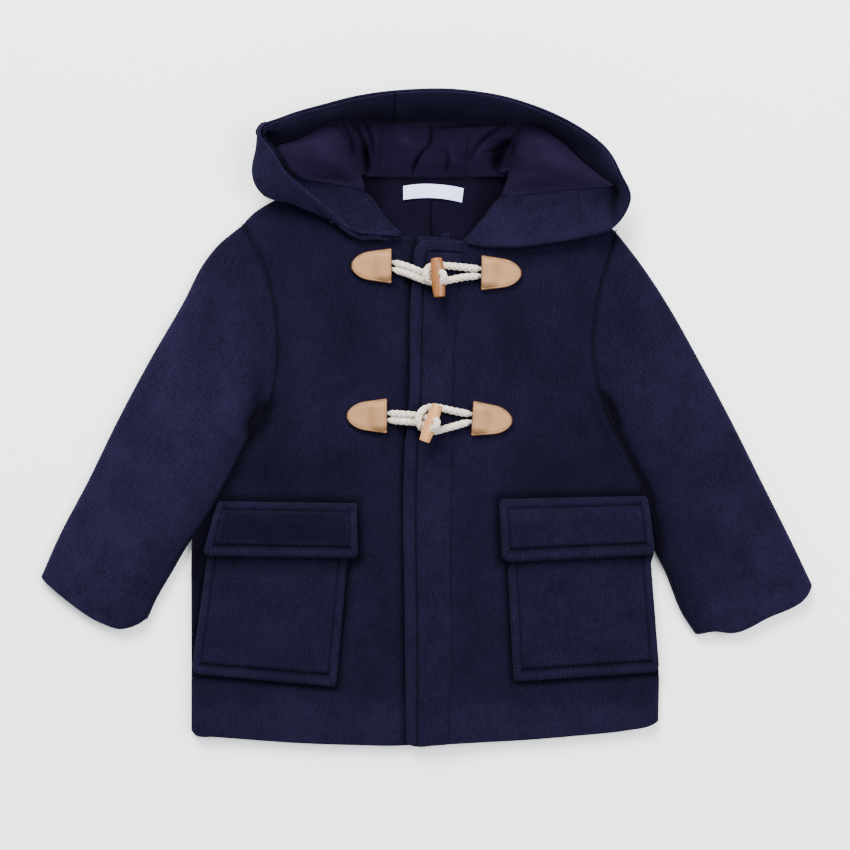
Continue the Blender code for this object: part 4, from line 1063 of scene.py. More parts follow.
def rounded_plan(a, b, width, height, radii):
    """Turns the corners of a rectangle round. a and b are millimetres from its first corner.

    radii: of the first corner, then going round."""
    for sx, sy, radius in zip((1, -1, -1, 1), (1, 1, -1, -1), radii):
        if radius <= 0:
            continue
        from_x = a if sx > 0 else width - a
        from_y = b if sy > 0 else height - b
        near = (from_x < radius) & (from_y < radius)
        share_x, share_y = 1 - from_x / radius, 1 - from_y / radius
        longer = np.maximum(share_x, share_y)
        scale = np.where(near, longer / np.maximum(np.hypot(share_x, share_y), 1e-9), 1.0)
        new_x = np.where(near, radius * (1 - share_x * scale), from_x)
        new_y = np.where(near, radius * (1 - share_y * scale), from_y)
        a = new_x if sx > 0 else width - new_x
        b = new_y if sy > 0 else height - new_y
    return a, b


def make_placket():
    """The folded band: a welt along its fold, a line of stitches, and a seam to the left front."""
    width, length = PLACKET_SIZE
    stitch_row = length - PLACKET_STITCH
    across, up = stops(width, 1.6, marks=(PLACKET_STITCH,)), stops(length, 2.2, marks=(stitch_row,))
    u, v = np.meshgrid(across, up)
    from_fold, from_hem = rounded_plan(u * width, v * length, width, length, PLACKET_CORNERS)
    from_seam, from_top = width - from_fold, length - from_hem
    top = outline(path((-9, 131.6), (10, 132.2), (28, 131)))
    spot = between(outline(HEM_PLACKET), top, outline(PLACKET_FOLD), outline(PLACKET_SEAM),
                   from_fold / width, from_hem / length)
    dent = groove(from_fold - PLACKET_STITCH, 1.0) * ease((from_top - PLACKET_STITCH + 1) / 3)
    dent += groove(from_top - PLACKET_STITCH, 1.0) * ease((from_fold - PLACKET_STITCH + 1) / 3)
    height = PLACKET_TOP + 0.25 * ripple(spot[..., 0], spot[..., 1], 40.0, 11) * ease(from_fold / 6)
    height += 0.35 * bell(from_fold - 4.2, 2.8)
    height += 1.3 * dent
    height += -0.5 * (1 - roll(from_seam / 3.2))
    # Painted light and shade: darker in the stitches' dent and at the seam, lighter along the welt by the fold
    shade = 1.08 + 0.55 * dent - 0.4 * bell(from_seam, 1.3) + 0.12 * bell(from_fold - 4, 3)
    points = with_height(spot, height)
    cloth("placket_cloth", points, PLACKET_WALL + 0.6, WOOL, nodes=["placket"],
          grain=0, shade=np.clip(shade, 0.25, 1.5), upright=True)
    column, row = stop_near(across, width, PLACKET_STITCH), stop_near(up, length, stitch_row)
    lines = stitch_lines(points, np.s_[:row + 1, column], np.s_[row, column:-5])
    stitches("placket_stitches", lines, NAVY_THREAD)


# ---------------------------------------------------------------- sleeves

SLEEVE_LENGTH = 300.0  # that the grid counts in
TUCK_STOPS = (-0.004, -0.002, 0.001, 0.005)  # shares of it that lie under the armhole's edge and beside it
FOLD_STOPS = np.array([0.0, 0.02, 0.08, 0.18, 0.32, 0.5, 0.74, 1.0])  # across the roll of a fold
SLEEVES = {
    "right": (OUTER_RIGHT, INNER_RIGHT, CUFF_RIGHT, -27, True),
    "left": (OUTER_LEFT, INNER_LEFT, CUFF_LEFT, 27, False),
}


def sleeve_shade(side, x, y, at, from_inner):
    """Painted light and shade of a sleeve: lighter out towards its outer fold, darker in its creases, beside the
    armhole and along its inner fold.
    """
    inside, run = max(at, 0.0), at * SLEEVE_LENGTH
    outer_light = 0.54 if side == "right" else 0.16
    lit = 1 + outer_light * ease((inside * SLEEVE_LENGTH - 6) / 70) * ease(from_inner / 60)
    lit = lit + 0.13 * creases(x, y, SLEEVE_CREASES[side])
    lit += 0.16 * creases(x, y, HOLLOWS)
    if side == "right":
        lit -= 0.7 * bell(run + 1.0, 2.6) + 0.3 * bell(from_inner, 5) * ease(1.4 - inside)
        return lit
    # On the wearer's left: painted shadow beside the armhole and on the sleeve next to the body's edge
    tight = ease(1 - from_inner / 75.0)
    lit -= 0.75 * bell(run + 1.0, 2.6 + 8 * tight) * (0.8 + 0.2 * tight)
    beyond = np.maximum(-side_distance(x, y), 0.0)
    window = ease((24 - y) / 16) * ease((y + 125) / 40)
    lit -= (0.8 * bell(beyond, 6.5) + 0.16 * bell(beyond, 42)) * window
    lit += 0.16 * ease((inside - 0.75) / 0.2) - 0.4 * bell(from_inner, 15) * ease((-85 - y) / 35)
    return lit


def make_sleeve(side, outer, inner, cuff, grain, down):
    """A flattened tube from just under the armhole's edge to the cuff."""
    outer, inner, cuff = outline(outer), outline(inner), outline(cuff)
    rows = np.concatenate([TUCK_STOPS, np.linspace(0.012, 1 - 6.0 / SLEEVE_LENGTH, 120),
                           1 - EDGE_ROWS[::-1] / SLEEVE_LENGTH])
    rings, shades = [], []
    for at in rows:
        inside = max(at, 0.0)
        reach, height = smooth(SLEEVE["at"], SLEEVE["roll"], inside), smooth(SLEEVE["at"], SLEEVE["top"], inside)
        fold = FOLD_SHARE * height
        width = np.linalg.norm(outer(at) - inner(at))
        near = FOLD_STOPS * reach / width
        middle = np.linspace(near[-1], 1 - near[-1], 62)[1:-1]
        across = np.concatenate([near, middle, 1 - near[::-1]])
        spot = plan(armhole(side), cuff, outer, inner, across, np.array([at]))[0]
        x, y = spot[:, 0], spot[:, 1]
        from_fold = np.minimum(across, 1 - across) * width
        rise = roll(from_fold / reach)
        away = ease((from_fold - 2) / 16) * ease((inside * SLEEVE_LENGTH - 4) / 20)
        crease = creases(x, y, SLEEVE_CREASES[side])
        puff = crease + 0.3 * creases(x, y, HOLLOWS) + 0.4 * ripple(x, y, 60.0, 21) + 0.16 * ripple(x, y, 22.0, 22)
        sunk = 3.4 * (1 - roll(np.clip((at * SLEEVE_LENGTH + 1.2) / 4.2, 0, 1)))
        over = fold + (height - fold) * rise + puff * away * (1 - 0.5 * ease((inside - 0.9) / 0.1)) - sunk
        under = fold * (1 - rise) + np.maximum(-0.6 * crease, 0) * away
        rings.append(np.concatenate([with_height(spot, over), with_height(spot, under)[-2:0:-1]]))
        # Painted light and shade round the ring, the same on both faces
        lit = sleeve_shade(side, x, y, at, (1 - across) * width)
        shades.append(np.concatenate([lit, lit[-2:0:-1]]))
    cloth(f"sleeve_{side}_cloth", np.array(rings), SLEEVE_WALL, WOOL, nodes=[f"sleeve_{side}"], ring=True, down=down,
          grain=grain, shade=np.clip(np.array(shades), 0.2, 1.7))


# ---------------------------------------------------------------- pockets

SIDE_BAND, LOW_BAND, TOP_BAND = 6.2, 8.2, 6.2  # from an edge to its line of stitches
WELT_BAND = 7.0  # that each of these is scaled to
PUCKER_PITCH = 3.1
# Bag and flap. round_to: height of the rectangle whose corners are rounded, so that a bag's upper
# ones stay square; topped: with a welt along the top as well; uneven: size, period, start and reach
# of the cloth's unevenness inside the welts.
WELTED = {
    "pocket": {
        "size": (104.5, 120.0), "corners": POCKET_BAG, "radii": (6.0, 3.5, 0.0, 0.0), "round_to": 160.0,
        "step": 1.5, "topped": False, "wall": POCKET_WALL + 1.6, "rests_on": "front", "welt_seed": 31,
        "uneven": (0.3, 42.0, 9, 10), "seed": {"right": 34, "left": 33}, "grain": {"right": 4, "left": -4},
    },
    "flap": {
        "size": (113.5, 41.0), "corners": POCKET_FLAP, "radii": (5.0, 5.0, 2.5, 2.5), "round_to": 41.0,
        "step": 1.2, "topped": True, "wall": FLAP_WALL + 2.0, "rests_on": "pocket", "welt_seed": 41,
        "uneven": (0.25, 36.0, 8, 8), "seed": {"right": 44, "left": 43}, "grain": {"right": 1, "left": 1},
    },
}


def welt_relief(edge, along, lowest, seed):
    """Padded band along an edge, the dent of its stitches, and their fine puckers."""
    band = 0.8 * bell(edge - 3.4, 2.4)
    pucker = np.sin(2 * math.pi * (along + 0.5 * ripple(along, edge, 30.0, seed) + 0.5 * edge) / PUCKER_PITCH)
    pucker *= (0.15 + 0.3 * lowest) * bell(edge - 3.0, 2.4)
    dent = groove(edge - WELT_BAND, 0.9 + 0.8 * lowest, 1.05)
    return band + dent + pucker + 0.16 * ripple(along, edge * 3, 14.0, seed)


def welt_shade(edge, along, low, lowest):
    """Painted light along the padded band, painted shade at the very edge, in the dent of its stitches and in a fold
    beside the low ones; the puckers are painted lit and shaded in turn.
    """
    band = 0.2 * bell(edge - 2.8, 2.2) - 0.3 * bell(edge, 1.0)
    fold = -0.32 * bell(low - 5.6, 0.9) * (low < edge + 0.5)
    scallop_shading = np.sin(2 * math.pi * (along + 0.5 * edge) / PUCKER_PITCH)
    scallop_shading *= (0.1 + 0.22 * lowest) * bell(edge - 3.0, 2.2)
    dent = (0.26 + 0.4 * lowest) * groove(edge - WELT_BAND, 1.0, 1.0)
    return np.clip(1.05 + band * (0.6 + 0.4 * lowest) + scallop_shading + fold + dent, 0.25, 1.5)


def quad_spot(corners, a, b, size):
    """Plan points of a rectangle of this size, stretched to four corners."""
    place = np.stack([corners["x"], corners["y"]], axis=-1)
    u3, v3 = (a / size[0])[..., None], (b / size[1])[..., None]
    low = place[0] * (1 - u3) + place[1] * u3
    high = place[3] * (1 - u3) + place[2] * u3
    return low * (1 - v3) + high * v3


def welted_height(kind, spot, a, b):
    """Outer face without its welts: a bag is puffed, and a flap climbs from its seam onto the bag."""
    width, height = WELTED[kind]["size"]
    if kind == "pocket":
        arches = np.sin(math.pi * np.clip(a / width, 0, 1)) * np.sin(math.pi * np.clip(b / height, 0, 1))
        return lay(spot[..., 0], spot[..., 1]) + GAP + POCKET_WALL + 0.5 + POCKET_PUFF * np.sqrt(arches)
    climb = (POCKET_WALL + GAP + POCKET_PUFF + 0.9) * ease((1 - b / height) / FLAP_RAMP)
    return lay(spot[..., 0], spot[..., 1]) + GAP + FLAP_WALL + climb


def welted_painted_shade(kind, side, edge, b, v):
    """How much painted shade there is: on a bag along its flap's edge, on a flap inside its welts and along its seam.
    """
    if kind == "pocket":
        return 0.45 * bell(b - 86, 7) * ease((b - 70) / 10)
    inner = 0.45 if side == "right" else 0.06
    return inner * ease((edge - 7) / 5) + 0.14 * ease((v - 0.75) / 0.1)


def make_welted(kind, side):
    """A pocket's bag or flap, with padded welts along its sides and low edge, and the flap's along its top."""
    part, name, down = WELTED[kind], f"{kind}_{side}", side == "left"
    (width, height), topped = part["size"], part["topped"]
    side_marks, row_marks = (SIDE_BAND, width - SIDE_BAND), (LOW_BAND, height - TOP_BAND)[:1 + topped]
    across, up = stops(width, 1.0, marks=side_marks), stops(height, part["step"], marks=row_marks)
    u, v = np.meshgrid(across, up)
    low = v * height * WELT_BAND / LOW_BAND
    edge = np.minimum(np.minimum(u, 1 - u) * width * WELT_BAND / SIDE_BAND, low)
    from_row = v
    if topped:
        edge = np.minimum(edge, (1 - v) * height * WELT_BAND / TOP_BAND)
        from_row = np.minimum(v, 1 - v)
    a, b = rounded_plan(u * width, v * height, width, part["round_to"], part["radii"])
    spot = quad_spot(part["corners"][side], a, b, (width, height))
    along = np.where(np.minimum(u * width, width - u * width) < from_row * height, b, a)
    lowest = np.where(low < edge + 0.5, 1.0, 0.0)
    plain = welted_height(kind, spot, a, b)
    amount, period, start, reach = part["uneven"]
    z = plain + welt_relief(edge, along, lowest, part["welt_seed"])
    z += amount * ripple(spot[..., 0], spot[..., 1], period, part["seed"][side]) * ease((edge - start) / reach)
    points = with_height(spot, z)
    # Painted light and shade: lit welts, shade in the stitches' dents, under the flap and inside it
    cloth(f"{name}_cloth", points, part["wall"], WOOL, cut=with_height(spot, plain), nodes=[name], down=down,
          grain=part["grain"][side], upright=True,
          shade=welt_shade(edge, along, low, lowest) - welted_painted_shade(kind, side, edge, b, v))
    first, last = (stop_near(across, width, mark) for mark in side_marks)
    rows = [stop_near(up, height, mark) for mark in row_marks]
    if topped:
        cuts = [np.s_[row, first:last + 1] for row in rows]
        cuts += [np.s_[rows[0]:rows[1] + 1, column] for column in (first, last)]
    else:
        cuts = [np.s_[rows[0]:, first], np.s_[rows[0], first:last + 1], np.s_[rows[0]:, last]]
    stitches(f"{name}_stitches", stitch_lines(points, *cuts, down=down), NAVY_THREAD)


# ---------------------------------------------------------------- hood

def hood_at(section, *names):
    """Smooth values of the hood's columns at sections counted from 0."""
    knots = np.arange(LAST_SECTION + 1.0)
    return np.stack([smooth(knots, HOOD[name], section) for name in names], axis=-1)


def curl_share(section):
    """1 along the wearer's right, where the rim is curled over, 0 past it."""
    return ease((7.7 - section) / 0.6)


def wall_point(section, at):
    """Middle of the hood's double wall, at 0 on the rim to 1 on the lining seam."""
    rim = hood_at(section, "rim_x", "rim_y", "rim_z")
    seam = hood_at(section, "seam_x", "seam_y", "seam_z")
    sag = np.linalg.norm(seam - rim, axis=-1)[..., None] * np.array([0, 0, WALL_SAG])
    first = rim + (seam - rim) * WALL_STOPS[1] - sag * 0.8
    second = rim + (seam - rim) * WALL_STOPS[2] - sag
    # Where the rim is curled, the wall goes over the fold and comes back under the rim
    fold = np.stack([smooth(CURL["section"], CURL[name], section) for name in "xyz"], axis=-1)
    fold_level = np.interp(section, CURL["section"], CURL["z"])
    depth = 1.2 + 4.8 * ease((section - 0.8) / 3.0)
    under = rim * 0.8 + fold * 0.2
    under[..., 2] = np.minimum(fold_level - 0.25 * depth, rim[..., 2] - depth)
    under[..., 2] = np.maximum(under[..., 2], 0.35 * seam[..., 2] + 0.65 * under[..., 2])
    curled = curl_share(section)[..., None]
    first = first + (fold - first) * curled
    second = second + (under - second) * curled
    rows = np.stack([rim, first, second, seam])
    slopes = np.stack([first - rim, (second - rim) / 2, (seam - first) / 2, seam - second])
    k = np.clip(np.searchsorted(WALL_STOPS, at, side="right") - 1, 0, 2)
    s = ((at - WALL_STOPS[k]) / (WALL_STOPS[k + 1] - WALL_STOPS[k]))[..., None]
    here = k[None, ..., None]
    ends = [np.take_along_axis(values, which, axis=0)[0] for values in (rows, slopes) for which in (here, here + 1)]
    return cubic(s, 1, *ends)


def wall_normal(section, at):
    """Unit direction from the wall's middle towards the inside of the hood."""
    inward = wall_point(section, np.clip(at + 0.02, 0, 1)) - wall_point(section, np.clip(at - 0.02, 0, 1))
    before, after = (np.clip(section + step, 0, LAST_SECTION) for step in (-0.05, 0.05))
    return unit(np.cross(inward, wall_point(after, at) - wall_point(before, at)))


def layer_gap(at):
    """From the wall's middle to each of its two layers."""
    return RIM_GAP + (LAYER_GAP - RIM_GAP) * ease(at / RIM_SHARE)[..., None]


def section_stops(start, end, per_section=10):
    """Sections from start to end, crowded at both ends where the pieces' edges are round."""
    near = np.array([0.0, 0.004, 0.015, 0.035, 0.07])
    middle = np.linspace(start + 0.12, end - 0.12, int((end - start) * per_section))
    return np.concatenate([start + near, middle, end - near[::-1]])


WALL_STOPS = np.array([0.0, 0.33, 0.66, 1.0])
RIM_STOPS = np.concatenate([[0.0, 0.003, 0.012, 0.03, 0.055, 0.085], np.linspace(0.12, 1.0, 26)])
HOOD_STITCH = 7.0  # from the rim to its line of stitches


def rim_relief(points, depth=0.6):
    """Padded rim and the dent of its stitches, by the distance from the rim."""
    run = arcs(points, 1)
    band = 0.35 * bell(run - 3.4, 2.6)
    return (band + groove(run - HOOD_STITCH, depth, 0.9))[..., None]


def seam_painted_shade(section):
    """Painted shade in the two seams of the hood's centre panel."""
    return 0.8 * bell(section - FACING_FROM, 0.032) + 0.45 * bell(section - FACING_TO, 0.035)


def make_shell(name, start, end):
    """Outer cloth: round the wall's outer side, then flat under the hood to the neck."""
    sections = section_stops(start, end)
    section, on_wall = np.meshgrid(sections, RIM_STOPS, indexing="ij")
    normal = wall_normal(section, on_wall)
    outer = wall_point(section, on_wall) - normal * (SHELL_WALL + layer_gap(on_wall))
    outer -= normal * rim_relief(outer)
    x, y = outer[..., 0], outer[..., 1]
    outer -= normal * (0.35 * ripple(x * 1.3, y, 38.0, 51) * ease((on_wall - 0.1) / 0.3))[..., None]
    outer[..., 2] = np.maximum(outer[..., 2], hood_rest(x, y))
    section, below = np.meshgrid(sections, np.linspace(0.06, 1.0, 18), indexing="ij")
    seam = outer[:, -1:, :]
    spot = seam[..., :2] + (hood_at(section, "neck_x", "neck_y") - seam[..., :2]) * below[..., None]
    height = hood_rest(spot[..., 0], spot[..., 1])
    height = height + (seam[..., 2] - hood_rest(seam[..., 0], seam[..., 1])) * (1 - ease(below / 0.6))
    points = np.concatenate([outer, with_height(spot, height)], axis=1)
    along = np.repeat(section[:, :1], points.shape[1], axis=1)
    inward = np.concatenate([on_wall, 1 + below], axis=1)
    # Painted light and shade: darker further in under the hood, lighter on the curl and along the uncurled rim,
    # darker in the centre panel's seams
    shade = 1.15 - 0.35 * ease((inward - 0.5) / 0.8) - seam_painted_shade(along)
    shade += 0.36 * curl_share(along) * (1 - ease((inward - 0.3) / 0.15))
    shade += 0.6 * (1 - curl_share(along)) * (1 - ease(inward / 0.16))
    cloth(f"{name}_cloth", points, SHELL_WALL, HOOD_WOOL, nodes=[name], down=True,
          grain=-24, shade=np.clip(shade, 0.25, 1.6))


def above_shell(points, wall):
    """Lifts points that would dip into the hood's outer cloth."""
    low = hood_rest(points[..., 0], points[..., 1]) + SHELL_WALL + wall + 4 * GAP
    lifted = points.copy()
    lifted[..., 2] = np.maximum(points[..., 2], low)
    return lifted


# Hollow behind the rim where the hood turns down to the shoulder, and softer ones
FACING_CREASES = folds(
    (143.5, 182, 138.5, 140, -2, 3.8, -3.4), (-72, 152, -34, 146, -3, 6, -0.9), (128, 160, 70, 146, 4, 8, 0.7),
    (-96, 174, -56, 166, 0, 5, -0.7), (60, 158, 40, 138, -2, 6, 0.6),
)


def make_facing(name, start, end):
    """Band of the outer cloth inside the rim, from the rim to the lining."""
    sections = section_stops(start, end)
    share = np.concatenate([RIM_STOPS[:-1], 1 - np.array([0.03, 0.012, 0.003, 0.0])])
    section, share = np.meshgrid(sections, share, indexing="ij")
    hidden = (0.42 + 0.2 * ease((section - 1.4) / 1.8)) * ease((7.1 - section) / 0.8)
    at = hidden + (0.995 - hidden) * share
    normal = wall_normal(section, at)
    points = wall_point(section, at) + normal * (FACING_WALL + layer_gap(at))
    points += normal * rim_relief(points, 0.1) * (1 - curl_share(section))[..., None]
    x, y = points[..., 0], points[..., 1]
    away = ease((share - 0.1) / 0.3) * ease((1 - share) / 0.2)
    points += normal * (0.4 * ripple(x * 1.3, y, 34.0, 52) * away)[..., None]
    fold = creases(x, y, FACING_CREASES)
    points[..., 2] += fold
    points = above_shell(points, FACING_WALL)
    # Painted light and shade: the upper facing, turned from the light, darkens towards the lining with a lighter
    # strip near the rim; the lower facings are lighter; the centre panel's seams, the lining's edge, the folds and
    # the curled part are darker
    upper = ease((section - 4.2) / 1.5) * ease((20.3 - section) / 1.6)
    shade = 1.12 + 0.2 * (1 - upper) - 0.66 * upper * ease((share - 0.12) / 0.75) - seam_painted_shade(section)
    shade -= 0.3 * bell(1 - share, 0.05) - 0.22 * fold + 0.16 * curl_share(section)
    shade += 0.22 * upper * bell(share - 0.12, 0.1)
    cloth(f"{name}_cloth", points, FACING_WALL, HOOD_WOOL, nodes=[name],
          grain=14, shade=np.clip(shade, 0.2, 1.6))


# Folds of the padded lining where it is drawn in at the throat
PILLOW_CREASES = folds(
    (-66, 223, -54.5, 190, 3, 1.5, -2.0), (-74, 220, -58.5, 199, 3.5, 2.0, -1.1),
    (-60.5, 224, -52.5, 198, 3, 1.2, -1.8),
    (72, 217, 63.5, 192, -2.5, 2.2, -1.5), (-92, 205, -66, 186, 3, 6, 0.8), (84, 208, 112, 180, -4, 7, 0.8),
    (-100, 186, -60, 178, 2, 4, -0.5),
)


LINING_GRID = 60.0  # length from facing to throat that the grid counts in
NORMAL_PASSES = 40  # that smooth the lining's seam along the hood
HEIGHT_PASSES = 60  # that smooth the padding's height


def beside(spot, line):
    """Plan distance to a line of points, and the line's height there, blended wider further away."""
    gap = np.hypot(spot[..., None, 0] - line[:, 0], spot[..., None, 1] - line[:, 1])
    nearest = gap.min(axis=-1)
    reach = 3.0 + 0.9 * nearest[..., None]
    weight = np.exp(-(gap - nearest[..., None]) / reach)
    return nearest, (weight * line[:, 2]).sum(axis=-1) / weight.sum(axis=-1)


def make_hood_lining(name, start, end):
    """Padded lining: from the facing over its crest and down to the throat, where it is gathered."""
    section, at = np.meshgrid(section_stops(start, end, 16), stops(LINING_GRID, 1.1), indexing="ij")
    edge = np.ones_like(at)
    inward = wall_normal(section, edge)
    for _ in range(NORMAL_PASSES):
        inward[1:-1] = (inward[:-2] + inward[2:]) / 2
    seam = wall_point(section, edge) + inward * (FACING_WALL + LAYER_GAP)
    throat = hood_at(section, "throat_x", "throat_y", "throat_z")
    tucked = ease((throat[..., 1] - 175.0) / 11.0)
    if "right" in name:
        throat[..., 0] += 2.0 * tucked
    low = centre_height(throat[..., 0], throat[..., 1]) + 0.8
    throat[..., 2] += (np.minimum(low, throat[..., 2]) - throat[..., 2]) * tucked
    crest = hood_at(section, "crest")[..., 0]
    spot = seam + (throat - seam) * at[..., None]
    from_seam, seam_level = beside(spot, seam[:, 0])
    from_throat, throat_level = beside(spot, throat[:, 0])
    share = from_seam / np.maximum(from_seam + from_throat, 0.01)
    level = seam_level * (1 - share) + throat_level * share
    puff = np.maximum(crest - level, 0) * (1 - np.exp(-from_throat / 9.0))
    corner = int(np.argmax(np.abs(seam[:, 0, 0])))  # where the seam turns from the side to the top
    for part in (seam[: corner + 1, 0], seam[corner:, 0]):
        puff *= 1 - np.exp(-beside(spot, part)[0] / 6.0)
    spot[..., 2] = level + puff
    x, y = spot[..., 0], spot[..., 1]
    full = np.clip(puff / 6, 0, 1)
    spot[..., 2] += 0.5 * ripple(x, y, 32.0, 61) * np.sin(math.pi * at) * full
    spot = above_shell(spot, LINING_WALL)
    z = spot[..., 2]
    for _ in range(HEIGHT_PASSES):
        z[1:-1, 1:-1] = (z[:-2, 1:-1] + z[2:, 1:-1] + z[1:-1, :-2] + z[1:-1, 2:]) / 4
    fold = creases(x, y, PILLOW_CREASES) * ease(at / 0.25)
    spot[..., 2] += fold
    # Painted shade in its folds, along its seam to the facing and where it is tucked in at the throat
    shade = 0.93 + 0.24 * fold - 0.25 * bell(at, 0.03) - 0.3 * tucked * ease((at - 0.8) / 0.2)
    cloth(f"{name}_cloth", above_shell(spot, LINING_WALL), LINING_WALL, LINING,
          nodes=[name],
          shade=np.clip(shade, 0.2, 1.3))


# Folds, seams and gathers of the lining above the back neck
CENTRE_CREASES = folds(
    (-33.3, 220, -37.8, 178, 0.6, 0.9, -1.2), (-57.5, 222, -44.7, 181, 4.5, 1.5, -3.0),
    (-50.5, 224, -41, 192, 3.5, 1.5, -2.0), (2.6, 218, 0.2, 198, 1.5, 1.2, -2.6),
    (1.5, 202, -11.5, 180, -2.5, 1.4, -3.0), (14.5, 199, 13.2, 180, 1.6, 1.3, -2.2),
    (30.0, 213, 28.0, 178, 0.5, 0.9, -1.2), (58, 216, 31, 190, -4, 1.7, -2.4),
    (70, 214, 42, 196, 3, 1.8, -2.4), (62, 207, 51, 181, -3, 4.2, -5.2),
    (2, 213.5, 50, 216.5, 1.0, 1.3, -1.6), (-24, 205, -10, 199, 2, 3.5, 1.0),
    (-22, 217, -18, 196, 2, 4.5, 0.9), (18, 205, 22, 186, -2, 4.0, 0.9), (40, 212, 52, 214, 1, 2.5, 1.0),
    (-48.5, 204, -45, 181, 1, 2.6, -3.4), (44, 206, 38, 188, -2, 3, 1.2), (-53, 216, -47.5, 196, 3, 1.6, 1.0),
)


CENTRE_GRID = (104.0, 39.0)  # width and length that the grid counts in


def centre_height(x, y):
    """Height of the gathered lining above the back neck, before its folds."""
    share = np.clip((y - 179) / 38, 0.0, 1.0)
    return 6.2 + 10.0 * share**1.3 + 2.5 * share**2 * ((x - 4) / 62) ** 2


def make_centre_lining():
    """Lining of the hood's centre, gathered into a few folds above the back neck."""
    sides = (
        path((-47, 179.4), (-22, 178.6), (24, 178.6), (56.5, 179.4)),
        path((-63, 223.4), (-50, 224.6), (-38, 221.2), (-10, 222.8), (13, 222.2), (33, 219), (69, 218)),
        path((-47, 179.4), (-57, 194), (-62, 206), (-63, 223.4)),
        path((56.5, 179.4), (64, 189), (68, 202), (69, 218)),
    )
    spot = plan(*map(outline, sides), *(stops(length, 0.75) for length in CENTRE_GRID))
    x, y = spot[..., 0], spot[..., 1]
    fold = creases(x, y, CENTRE_CREASES)
    puff = 2.2 * np.sin(math.pi * np.clip((y - 179) / 40, 0, 1)) + 0.35 * ripple(x, y, 17.0, 62)
    height = centre_height(x, y) + fold + puff
    past_seam = np.stack([x, np.maximum(y, BACK_NECK_Y + 3), height], axis=-1)
    height = above_shell(past_seam, LINING_WALL)[..., 2]
    dip = ease((182.5 - y) / 3.0)
    height = height * (1 - dip) + np.minimum(height, 6.6) * dip
    # Painted shade in its folds, along the back neck and towards its top
    shade = 0.84 + 0.2 * fold - 0.35 * bell(y - 179, 1.6) - 0.2 * ease((y - 209) / 9)
    cloth("hood_lining_centre_cloth", with_height(spot, height), LINING_WALL, LINING,
          nodes=["hood_lining_centre"], grain=0,
          shade=np.clip(shade, 0.2, 1.3))


def make_hood():
    """Outer cloth and facing, each of a right, a middle and a left piece, then the linings."""
    for make, names, low, high in (
        (make_shell, ("hood_side_right", "hood_centre", "hood_side_left"), CENTRE_FROM, CENTRE_TO),
        (make_facing, ("hood_facing_right", "hood_facing_centre", "hood_facing_left"), FACING_FROM, FACING_TO),
    ):
        make(names[0], 0.0, low + SECTION_LAP)
        make(names[1], low - SECTION_LAP, high + SECTION_LAP)
        make(names[2], high - SECTION_LAP, LAST_SECTION)
    make_hood_lining("hood_lining_right", *LINING_RIGHT)
    make_hood_lining("hood_lining_left", *LINING_LEFT)
    make_centre_lining()


# ---------------------------------------------------------------- back neck

NECK_GRID = (90.0, 52.0)  # width and length that the grid counts in


def make_neck_lining():
    """The back's lining inside the neck, with its middle seam and a shorter one beside it."""
    sides = (
        path((-28, 127), (37, 127)),
        path((-58, 184.5), (63, 184.5)),
        path((-28, 127), (-43, 150), (-52, 163), (-57, 172), (-58, 184.5)),
        path((37, 127), (48, 148), (58.5, 164), (62.5, 172), (63, 184.5)),
    )
    spot = plan(*map(outline, sides), *(stops(length, 0.9) for length in NECK_GRID))
    x, y = spot[..., 0], spot[..., 1]
    from_seam, below_label = x - 3.0 - 0.4 * np.sin(y / 5), ease((165 - y) / 6)
    height = BODY_WALL + GAP + NECK_WALL + 0.5 + 0.35 * ripple(x, y, 26.0, 71)
    height += groove(from_seam, 0.7, 0.8) * below_label
    height += groove(x - 42.5 + 0.1 * (y - 165), 0.5, 0.8) * ease((y - 150) / 8)
    height += 1.6 * ease((y - 173) / 8)
    # Painted shade: all of it darker, deep in the neck, and more along its middle seam, at its top under the hood and
    # at its sides
    shade = 0.53 - 0.42 * (bell(from_seam, 0.8) * below_label)
    shade = shade - 0.22 * ease((y - 176) / 4) - 0.22 * ease((np.abs(x - 3) - 26) / 20)
    cloth("back_neck_lining_cloth", with_height(spot, height), NECK_WALL, LINING,
          nodes=["back_neck_lining"], grain=0, shade=np.clip(shade, 0.2, 1.2))


ON_NECK = BODY_WALL + GAP + NECK_WALL + GAP + 0.7  # height of what is sewn to the neck's lining
LABEL_LENGTH = 46.0
LABEL_ENDS = (2.2, 43.8)  # its two lines of stitches


def make_label():
    """A plain label, sewn on at both ends."""
    across = stops(LABEL_LENGTH, 0.8, marks=LABEL_ENDS)
    u, v = np.meshgrid(across, stops(12.5, 0.8))
    x = -17.8 + 45.3 * u - 1.4 * u * (1 - v)
    y = 162.4 + 10.5 * v + 2.4 * (1 - (2 * u - 1) ** 2) - 1.9 * u
    z = ON_NECK + LABEL_WALL + 0.5 * ripple(x, y, 22.0, 72) + 0.4
    for mark in LABEL_ENDS:
        z = z + groove(u * LABEL_LENGTH - mark, 0.25, 0.4)
    points = np.stack([x, y, z], -1)
    cloth("neck_label_cloth", points, LABEL_WALL, SATIN, nodes=["neck_label"],
          grain=0)
    cuts = [np.s_[3:-3, stop_near(across, LABEL_LENGTH, mark)] for mark in LABEL_ENDS]
    stitches("label_stitches", stitch_lines(points, *cuts), TAN_THREAD, pitch=1.5, length=1.1, radius=0.14)


def make_tab():
    """The small loop below the label."""
    u, v = np.meshgrid(stops(7.0, 0.7), stops(5.7, 0.7))
    z = ON_NECK + LABEL_WALL + 0.9 * np.sin(math.pi * v) + 0.4
    points = np.stack([10.5 + 7.0 * u, 132.6 + 5.2 * v, z], -1)
    cloth("neck_tab_cloth", points, LABEL_WALL + 0.4, WOOL, nodes=["neck_tab"],
          grain=0, declare=False)


# ---------------------------------------------------------------- toggles

